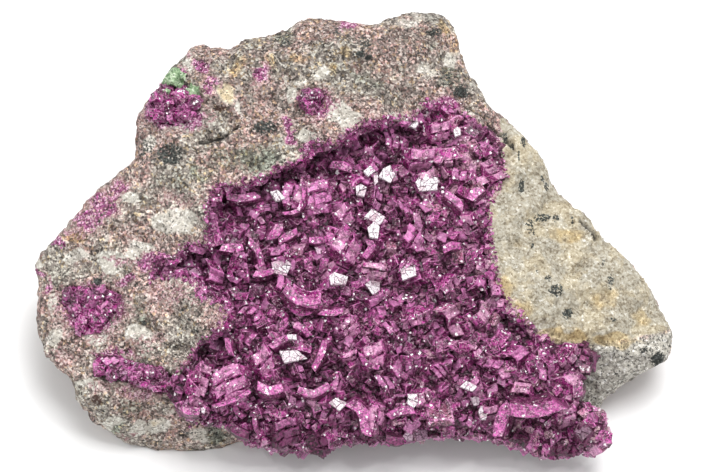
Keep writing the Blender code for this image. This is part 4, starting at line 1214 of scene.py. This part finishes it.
# Across and up, the top first, which painted sheen makes pale, then the two flanks, which painted shade
# makes dark
BAR_SECTION = (
    (0.90, 0.94), (-0.86, 1.0), (-1.0, 0.84), (-1.9, -0.35), (-1.9, -1.0), (1.25, -1.0), (1.0, 0.78),
)
# Painted sheen and painted shade of each side of the section, and of the cut ends
BAR_SHEEN = (0.25, 0.65, 0.0, 0.0, 0.0, 0.0, 0.5)
BAR_SHADES = (0.0, 0.0, -0.42, -0.5, -0.5, -0.45, 0.0)
BAR_END_SHEEN = 0.1
BAR_END_SHADE = -0.2
BAR_DEPTH = 2.6
BAR_CURVE = 0.45
BAR_KINK = 1.25
BAR_TAPER = 0.25
BAR_LEAN = 16
BAR_SAG = (-0.30, 0.20)
BAR_TILT = 0.4
END_SLANT = 0.3
END_SPREAD = 0.2
BAR_SEARCH = 1.3
BAR_SEED = 12
BAR_STAND = 0.30
BAR_TONE = (0.54, 0.70)


def bar_form(line, thickness, chance):
    """A bent blade of crystal along three places, with a top paled by painted sheen, flanks darkened by
    painted shade, and cut ends.
    """
    start, middle, end = np.array(line).reshape(3, 2)
    share = np.array(BAR_STATIONS)[:, None]
    bend = (middle - (start + end) / 2) * BAR_CURVE
    corner = np.minimum(share, 1 - share) * 2
    centre = start + (end - start) * share + bend * np.minimum(corner * BAR_KINK, 1.0)
    along = np.gradient(centre, axis=0)
    along /= np.linalg.norm(along, axis=1, keepdims=True)
    leftward = np.mean(along[:, 0]) < 0
    from_middle = 2 * share - 1
    section = np.array(BAR_SECTION)
    # The broad flank looks down the picture, or away from the bend.
    if leftward:
        section = section * (-1, 1)
    breadth = thickness / 2 * (1 - chance.uniform(0.0, BAR_TAPER) * from_middle ** 2)
    lean = math.radians(chance.uniform(-BAR_LEAN, BAR_LEAN))
    wide = section[:, 0] * breadth
    tall = section[:, 1] * thickness * BAR_DEPTH / 2
    out = wide * math.cos(lean) + tall * math.sin(lean)
    up = tall * math.cos(lean) - wide * math.sin(lean)
    up = up + chance.uniform(*BAR_SAG) * from_middle ** 2
    up = up + chance.uniform(-BAR_TILT, BAR_TILT) * from_middle
    shift = chance.uniform(-END_SLANT, END_SLANT)
    spread = chance.uniform(-END_SPREAD, END_SPREAD)
    slant = section[:, 0] * thickness * (shift + spread * from_middle)
    points = np.stack((
        centre[:, :1] - along[:, 1:] * out + along[:, :1] * slant,
        centre[:, 1:] + along[:, :1] * out + along[:, 1:] * slant, up,
    ), axis=2)
    sides = len(section)
    last = (len(BAR_STATIONS) - 1) * sides
    triangles = []
    frost_and_sheen = []
    depth = []
    for side in range(sides):
        after = (side + 1) % sides
        for low in range(0, last, sides):
            high = low + sides
            triangles.append((low + side, high + side, high + after))
            triangles.append((low + side, high + after, low + after))
            frost_and_sheen += [(BAR_SHEEN[side],) * 3] * 2
            depth += [BAR_SHADES[side]] * 2
    for side in range(1, sides - 1):
        triangles.append((0, side, side + 1))
        triangles.append((last, last + side + 1, last + side))
        frost_and_sheen += [(BAR_END_SHEEN,) * 3] * 2
        depth += [BAR_END_SHADE] * 2
    triangles = np.array(triangles)
    if leftward:
        triangles = triangles[:, ::-1]
    return Form(points.reshape(-1, 3), triangles, np.array(frost_and_sheen), False, depth)


def height_over(field, u, v, reach):
    """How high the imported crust's crystals stand near a place."""
    near = np.hypot(field[:, :, 0] - u, field[:, :, 1] - v) < reach
    return np.max(field[..., 2][near]) if near.any() else crystal_plane(v)


def near_bar(u, v, reach):
    """Whether a bent bar stands where a plain crystal of the part's source is."""
    middles = np.array(BARS)[:, 2:4]
    return bool((np.hypot(middles[:, 0] - u, middles[:, 1] - v) < reach).any())


# Curl and sideways bend of single crystals
SADDLES = ((-0.40, 0.5), (0.34, -0.6), (-0.25, -0.35), (0.30, 0.55), (-0.5, 0.1))
# Blocks along, blocks across, curl, sideways bend, unevenness and seed of grown-together crystals
GROWN = ((3, 2, 0.30, 0.2, 0.08, 11), (4, 3, -0.34, 0.0, 0.08, 12), (3, 3, 0.26, -0.2, 0.10, 13))
CLUSTERS = (
    (2, 2, 0.3, 0.3, 0.22, 14), (3, 2, -0.4, -0.3, 0.25, 15), (3, 1, 0.5, 0.6, 0.15, 16),
    (3, 3, -0.3, 0.0, 0.30, 17), (2, 3, 0.4, 0.4, 0.25, 18), (4, 2, -0.5, 0.5, 0.22, 19),
)
MAIN_SEED = 8
MAIN_WEAR = 0.14
EDGE_ON = 45  # lean from which a crystal shows its edge
EDGE_ON_TONES = (0.60, 0.74)
BROAD_TONES = (0.55, 0.95)
FILL_TONES = (0.2, 0.85)
FILL_LEANS = (10, 70)
FILL_TURN = 25
HIDDEN_LEAN = 30  # lean from which a bar takes the crystal's place
BAR_ROOM = 1.7
FILL_BAR_ROOM = 1.2


def make_bent_bars(field, material):
    heap = CrystalHeap()
    chance = random.Random(BAR_SEED)
    corners = front_triangles(field)
    for *line, thickness in BARS:
        tops = [height_over(corners, line[n], line[n + 1], BAR_SEARCH) for n in (0, 2, 4)]
        form = bar_form(line, thickness, chance)
        middle_height = sorted(tops)[1] - thickness * BAR_DEPTH / 2 + BAR_STAND
        heap.add(form, np.eye(3)[None], (0, 0, middle_height), chance.uniform(*BAR_TONE))
    return heap.build("dolomite_bent_bars", material, MAIN_WEAR)


def make_main_crystals(material):
    heap = CrystalHeap()
    chance = random.Random(MAIN_SEED)
    bars = [saddle_form(*bent) for bent in SADDLES]
    block = chamfered_form(chamfer=0.14, uneven=0.05, seed=4, rim=0.5)
    blocks = [grown_form(block, *grown) for grown in GROWN]
    clusters = [grown_form(block, *grown) for grown in CLUSTERS]
    for u, v, length, breadth, heading, lean in MAIN_CRYSTALS:
        forms = bars if lean > EDGE_ON else blocks
        tone = chance.uniform(*(EDGE_ON_TONES if lean > EDGE_ON else BROAD_TONES))
        if near_bar(u, v, BAR_ROOM) and lean > HIDDEN_LEAN:
            continue
        seated(heap, chance.choice(forms), u, v, length, breadth, heading, lean, 0, tone)
    taken = [(crystal[0], crystal[1]) for crystal in MAIN_CRYSTALS]
    fill = random.Random(FILL_SEED)
    for u, v in scattered(FIELD, taken, FILL_TRIES, FILL_SPACING, fill):
        length = fill.uniform(*FILL_LENGTH)
        breadth = length * fill.uniform(0.6, 0.9)
        heading = fill.uniform(0, 180)
        lean = fill.uniform(*FILL_LEANS)
        turn = fill.uniform(-FILL_TURN, FILL_TURN)
        tone = chance.uniform(*FILL_TONES)
        if near_bar(u, v, FILL_BAR_ROOM):
            continue
        seated(heap, chance.choice(clusters), u, v, length, breadth, heading, lean, turn, tone)
    return heap.build("dolomite_main_crystals", material, MAIN_WEAR)


# Smaller crystals

MEDIUM_SIZE = (0.7, 2.1)
MEDIUM_SPACING = 0.62
MEDIUM_SEED = 21
MEDIUM_TRIES = 11000
FRONT_LIP = -27.0  # v under which the crust's front lip lies
TURNED_AWAY = -0.3
LEVEL_ENOUGH = 0.2
LIP_CRYSTALS = -26.0  # v under which crystals get less painted shade, as they catch more light
LEFT_HALF = 6.0  # u that parts the left piece from the right one
SMALL_SIZE = (0.3, 0.75)
SMALL_SPACING = 0.33
SMALL_SEED = 22
SMALL_TRIES = 34000
TINY_SIZE = (0.25, 0.6)
TINY_TRIES = 9000
RIM_SEED = 23
RIM_TRIES = 90000
RIM_SPACING = 0.36
RIM_SIZE = (0.3, 0.7)
RIM_START = 0.1
WALL_SIZE = (0.5, 1.7)
WALL_REACH = (-0.7, 1.2)  # how far inside the outline the wall's crystals stand
WALL_FOOT = 0.4
QUIET_RIM = 19.0  # u past which the rim sheds few crystals
QUIET_REACH = 0.12
RIM_REACH = 0.40
RIM_SHARE = 0.25


def in_sight(places, ways, steepest=1.1):
    """Which places face the viewer, or lie on the front lip of the crust."""
    return ((ways[:, 2] > TURNED_AWAY) & (ways[:, 2] < steepest)) | (places[:, 1] < FRONT_LIP)


def thinned(places, ways, kept, spacing):
    """Places that are kept and lie at least a spacing apart, and their ways."""
    places = places[kept]
    ways = ways[kept]
    chosen = spaced(places, spacing)
    return places[chosen], ways[chosen]


def make_medium_crystals(bed, forms, material):
    """Crystals a millimetre or two long, all over the crust and its front lip."""
    chance = np.random.default_rng(MEDIUM_SEED)
    places, ways = strewn(front_triangles(bed), MEDIUM_TRIES, chance)
    places, ways = thinned(places, ways, in_sight(places, ways), MEDIUM_SPACING)
    left = places[:, 0] < LEFT_HALF
    for name, own in (("dolomite_left_crystals", left), ("dolomite_right_crystals", ~left)):
        heap = CrystalHeap()
        lip = own & (places[:, 1] < LIP_CRYSTALS)
        # Lower deep: less painted shade in the hollow, most of all on the lip
        for part, deep in ((own & ~lip, 0.85), (lip, 0.25)):
            add_druse(
                heap, forms, places[part], ways[part], MEDIUM_SIZE, chance, sink=0.12, deep=deep
            )
        heap.build(name, material)


def make_fine_druse(bed, crystals, forms, material):
    """The finest crystals, on every crystal and in every gap of the crust."""
    chance = np.random.default_rng(SMALL_SEED)
    heap = CrystalHeap()
    surfaces = ((bed, SMALL_TRIES, SMALL_SIZE, 1.1), (crystals, TINY_TRIES, TINY_SIZE, 0.45))
    for made, number, sizes, steepest in surfaces:
        places, ways = strewn(front_triangles(made), number, chance)
        shown = in_sight(places, ways, steepest)
        places, ways = thinned(places, ways, shown, SMALL_SPACING)
        add_druse(heap, forms, places, ways, sizes, chance, sink=0.1)
    return heap.build("dolomite_fine_druse", material)


def make_rim_druse(rock, forms, material):
    """Crystals that climb the walls of the hollow and thin out over the rock round it."""
    chance = np.random.default_rng(RIM_SEED)
    places, ways = strewn(front_triangles(rock), RIM_TRIES, chance)
    inside = depth_inside(FIELD, places[:, 0], places[:, 1])
    floor = np.array([crust_surface(*place[:2]) for place in places])
    on_wall = (inside > WALL_REACH[0]) & (inside < WALL_REACH[1])
    on_wall &= places[:, 2] > floor - WALL_FOOT
    reach = np.where(places[:, 0] > QUIET_RIM, QUIET_REACH, RIM_REACH)
    spread = np.exp(np.minimum(inside, 0.0) / reach) * RIM_SHARE
    on_rock = (ways[:, 2] > LEVEL_ENOUGH) & (chance.random(len(places)) < spread) & (inside < 0)
    places, ways = thinned(places, ways, on_wall | on_rock, RIM_SPACING)
    heap = CrystalHeap()
    outer = depth_inside(FIELD, places[:, 0], places[:, 1]) < RIM_START
    add_druse(heap, forms, places[outer], ways[outer], RIM_SIZE, chance, sink=0.0, deep=0.2)
    add_druse(heap, forms, places[~outer], ways[~outer], WALL_SIZE, chance, sink=0.05, deep=0.5)
    return heap.build("dolomite_rim_druse", material)


# White reflecting faces, turned to the key light and painted white as its reflection

PLATE_SEED = 31
MOSAIC_GAP = 0.03
PLATE_CORNERS = (4, 5)
PLATE_CORNER_SHIFT = 0.2
PLATE_REACH = (0.48, 0.70)
PLATE_THICKNESS = 0.5
PLATE_CHAMFER = 0.10
CHAMFER_DROP = 0.4
PLATE_SEARCH = 1.2
PLATE_TONE = 0.85
# How white the painted reflections are: most fragments take one lightness, the rest less
PLATE_LIGHTNESS = (0.75, 1.0)
FRAGMENT_AREA = 0.85
FRAGMENT_SPREAD = 0.45
FRAGMENT_TILT = 7
FRAGMENT_STEP = 0.10
LIT_SHARE = 0.75
UNLIT_GLINT_PAINT = (0.2, 0.6)
LIGHT_WAY = np.array((0.20, 0.24, 0.95))


def bright_way():
    """The way a face turns, in the front plane's directions, to throw the light to the viewer."""
    light = AXES @ (LIGHT_WAY / np.linalg.norm(LIGHT_WAY))
    half = light + (0.0, 0.0, 1.0)
    return half / np.linalg.norm(half)


def cut_back(outline, place, way):
    """The part of a convex outline that lies behind a line through a place."""
    kept = []
    for here, after in zip(outline, outline[1:] + outline[:1]):
        before_line = np.dot(np.subtract(here, place), way)
        past_line = np.dot(np.subtract(after, place), way)
        if before_line <= 0:
            kept.append(here)
        if before_line * past_line < 0:
            share = before_line / (before_line - past_line)
            kept.append(tuple(np.array(here) + share * np.subtract(after, here)))
    return kept


def mosaic(outline, seeds):
    """A convex outline split into fragments, one round each seed, with thin gaps."""
    pieces = []
    for number, seed in enumerate(seeds):
        piece = list(outline)
        for other_number, other in enumerate(seeds):
            if other_number != number and piece:
                way = np.subtract(other, seed)
                length = np.linalg.norm(way)
                middle = np.array(seed) + way * (0.5 - MOSAIC_GAP / length)
                piece = cut_back(piece, middle, way)
        if len(piece) > 2:
            pieces.append(piece)
    return pieces


def fragment_form(outline, thickness, chamfer):
    """A thin plate on a convex outline, with its upper rim cut back."""
    flat = np.array(outline)
    centre = flat.mean(axis=0)
    count = len(flat)
    upper = centre + (flat - centre) * (1 - chamfer)
    rings = ((flat, -thickness), (flat, -chamfer * CHAMFER_DROP), (upper, 0.0))
    points = [np.column_stack((ring, np.full(count, height))) for ring, height in rings]
    triangles = []
    frost_and_sheen = []
    for number in range(count):
        after = (number + 1) % count
        for level in (0, 1):
            low = level * count
            high = low + count
            triangles.append((low + number, low + after, high + after))
            triangles.append((low + number, high + after, high + number))
            # Frost and painted sheen on the cut-back upper rim
            frost_and_sheen += [(level, level, level)] * 2
    for number in range(1, count - 1):
        triangles.append((2 * count, 2 * count + number, 2 * count + number + 1))
        triangles.append((0, number + 1, number))
        frost_and_sheen += [(0, 0, 0)] * 2
    return Form(np.concatenate(points), np.array(triangles), np.array(frost_and_sheen, float), False)


def make_bright_faces(field, material):
    """Broad faces split into a mosaic of fragments, turned to the light and painted white as its
    reflection.
    """
    heap = CrystalHeap()
    chance = random.Random(PLATE_SEED)
    corners = front_triangles(field)
    centres = corners.mean(axis=1)
    for u, v, breadth, height in BRIGHT_FACES:
        near = np.hypot(centres[:, 0] - u, centres[:, 1] - v) < PLATE_SEARCH
        top = np.max(corners[near][:, :, 2]) if near.any() else crystal_plane(v)
        count = chance.randint(*PLATE_CORNERS)
        start = chance.uniform(0, 2 * math.pi)
        outline = []
        for number in range(count):
            shift = chance.uniform(-PLATE_CORNER_SHIFT, PLATE_CORNER_SHIFT)
            angle = start + 2 * math.pi * (number + shift) / count
            reach = chance.uniform(*PLATE_REACH)
            outline.append((breadth * reach * math.cos(angle), height * reach * math.sin(angle)))
        seeds = []
        for _ in range(max(2, round(breadth * height / FRAGMENT_AREA))):
            seed_u = chance.uniform(-FRAGMENT_SPREAD, FRAGMENT_SPREAD) * breadth
            seed_v = chance.uniform(-FRAGMENT_SPREAD, FRAGMENT_SPREAD) * height
            seeds.append((seed_u, seed_v))
        base = facing(bright_way())
        lightness = chance.uniform(*PLATE_LIGHTNESS)
        for piece in mosaic(outline, seeds):
            middle = np.mean(piece, axis=0)
            own = [tuple(np.subtract(corner, middle)) for corner in piece]
            form = fragment_form(own, PLATE_THICKNESS, PLATE_CHAMFER)
            tilts = turned(0, chance.uniform(-FRAGMENT_TILT, FRAGMENT_TILT))
            tilts = tilts @ turned(1, chance.uniform(-FRAGMENT_TILT, FRAGMENT_TILT))
            rise = chance.uniform(-FRAGMENT_STEP, FRAGMENT_STEP)
            seat = base[0] @ np.array((*middle, rise))
            glint_paint = lightness if chance.random() < LIT_SHARE else chance.uniform(*UNLIT_GLINT_PAINT)
            heap.add(form, base @ tilts, np.array((u, v, top)) + seat, PLATE_TONE, glint_paint)
    return heap.build("dolomite_bright_faces", material)


# Small crusts

CRUST_VOXEL = 0.35
CRUST_SMOOTHING = 2
CRUST_SHRINK = 0.1
# Lift 0.6 paints the small crusts' beds in part shade
CRUST_PAINT = (0.0, 0.3, 0.0, 0.6)
CRUST_GREYISH = 0.65
CRUST_SEED = 41
CRUST_TRIES = 7000
CRUST_SPACING = 0.42
CRUST_TURNED_AWAY = -0.1
CRUST_SIZE = (0.4, 1.5)
STRAY_SEED = 42
STRAY_TRIES = 90000
STRAY_SPACING = 0.4
STRAY_SIZE = (0.25, 0.7)
STRAY_BLUSH = 0.75
STRAY_SHARE = 0.9


def make_small_crusts(forms, material):
    chance = np.random.default_rng(CRUST_SEED)
    for node in SMALL_CRUSTS:
        bed = solid_copy(node, node.replace("druse", "bed"), CRUST_VOXEL, CRUST_SMOOTHING)
        points, normals = vertex_arrays(bed)
        points -= normals * CRUST_SHRINK * MM
        move_vertices(bed, points)
        vertices = np.empty(len(bed.data.loops), np.int32)
        bed.data.loops.foreach_get("vertex_index", vertices)
        u, v, _ = to_front(points).T[:, vertices]
        paint = np.tile(CRUST_PAINT, (len(vertices), 1))
        paint[:, 1] += CRUST_GREYISH * np.clip(marked(GREYISH_ZONES, u, v), 0, 1)
        store_paint(bed, "crystal_paint", paint)
        dressed(bed, material)
        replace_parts(bed, node)
        places, ways = strewn(front_triangles(bed), CRUST_TRIES, chance)
        places, ways = thinned(places, ways, ways[:, 2] > CRUST_TURNED_AWAY, CRUST_SPACING)
        heap = CrystalHeap()
        add_druse(heap, forms, places, ways, CRUST_SIZE, chance, sink=0.1, deep=0.0)
        heap.build(node.replace("druse", "crystals"), material)


def make_strays(rock, forms, material):
    """Tiny crystals strewn over the rock where it blushes pink."""
    chance = np.random.default_rng(STRAY_SEED)
    places, ways = strewn(front_triangles(rock), STRAY_TRIES, chance)
    blush = marked(PINK_MARKS, places[:, 0], places[:, 1])
    share = STRAY_SHARE * np.maximum(blush - STRAY_BLUSH, 0)
    kept = (ways[:, 2] > LEVEL_ENOUGH) & (chance.random(len(places)) < share)
    places, ways = thinned(places, ways, kept, STRAY_SPACING)
    heap = CrystalHeap()
    add_druse(heap, forms, places, ways, STRAY_SIZE, chance, sink=0.0, deep=0.0)
    return heap.build("dolomite_strays", material)


# Studio

CAMERA_AIM = (0.39, 0.0, 17.0)
FRAME_WIDTH = 110.8
CAMERA_LENS = 400.0
SENSOR = 36.0
SOFTBOX_DISTANCE = 1.2
# Name, way from the specimen, size and brightness
SOFTBOXES = (
    ("key_softbox", LIGHT_WAY, 0.85, 7.0), ("fill_softbox", (-0.62, -0.55, 0.56), 0.60, 1.6),
    ("left_spark", (-0.55, -0.10, 0.83), 0.09, 55.0),
    ("right_spark", (0.50, -0.15, 0.85), 0.09, 55.0),
)
DAYLIGHT = 0.60
FLOOR_CORNERS = ((-2, -2, 0), (2, -2, 0), (2, 2, 0), (-2, 2, 0))
FLOOR_DROP = 0.05


def make_camera():
    camera = bpy.data.objects.new("camera", bpy.data.cameras.new("camera"))
    camera.data.lens = CAMERA_LENS
    camera.data.sensor_width = SENSOR
    camera.data.clip_start = 0.01
    away = FRAME_WIDTH * CAMERA_LENS / SENSOR
    aim = np.array(CAMERA_AIM)
    camera.location = to_part(aim + (0, 0, away))
    camera.rotation_euler = (math.pi / 2 - VIEW_ELEVATION, 0, 0)
    bpy.context.scene.collection.objects.link(camera)
    bpy.context.scene.camera = camera


def add_softbox(name, way, size, radiance):
    """A square light that faces the specimen, of a given brightness for each bit of its face."""
    lamp = bpy.data.lights.new(name, "AREA")
    lamp.shape = "SQUARE"
    lamp.size = size
    lamp.energy = radiance * math.pi * size * size
    made = bpy.data.objects.new(name, lamp)
    way = Vector(way).normalized()
    made.location = way * SOFTBOX_DISTANCE
    made.rotation_euler = way.to_track_quat("Z", "Y").to_euler()
    bpy.context.scene.collection.objects.link(made)


def make_studio():
    floor = mesh_object(
        "floor", np.array(FLOOR_CORNERS) - (0, 0, FLOOR_DROP * MM), np.array(((0, 1, 2), (0, 2, 3))),
        False,
    )
    floor.data.materials.append(floor_finish())
    for softbox in SOFTBOXES:
        add_softbox(*softbox)
    world = bpy.data.worlds.new("studio")
    world.use_nodes = True
    background = world.node_tree.nodes["Background"]
    background.inputs["Color"].default_value = (1.0, 1.0, 1.0, 1.0)
    background.inputs["Strength"].default_value = DAYLIGHT
    bpy.context.scene.world = world
    bpy.context.scene.view_settings.view_transform = "Standard"


def main():
    dolomite = dolomite_finish()
    forms = [chamfered_form(chamfer=0.13, uneven=0.14, seed=seed, rim=0.4) for seed in range(1, 6)]
    tiny_forms = [uneven_block(uneven=0.22, seed=seed) for seed in range(1, 5)]
    rock = make_rock()
    bed = make_bed(dolomite)
    main_crystals = make_main_crystals(dolomite)
    make_medium_crystals(bed, forms, dolomite)
    make_fine_druse(bed, main_crystals, tiny_forms, dolomite)
    make_rim_druse(rock, tiny_forms, dolomite)
    make_bent_bars(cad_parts["dolomite_crystal_field"], dolomite)
    make_bright_faces(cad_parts["dolomite_crystal_field"], dolomite)
    make_small_crusts(forms, dolomite)
    make_strays(rock, tiny_forms, dolomite)
    make_green_flakes(rock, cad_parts["upper_left_druse"])
    make_camera()
    make_studio()


main()
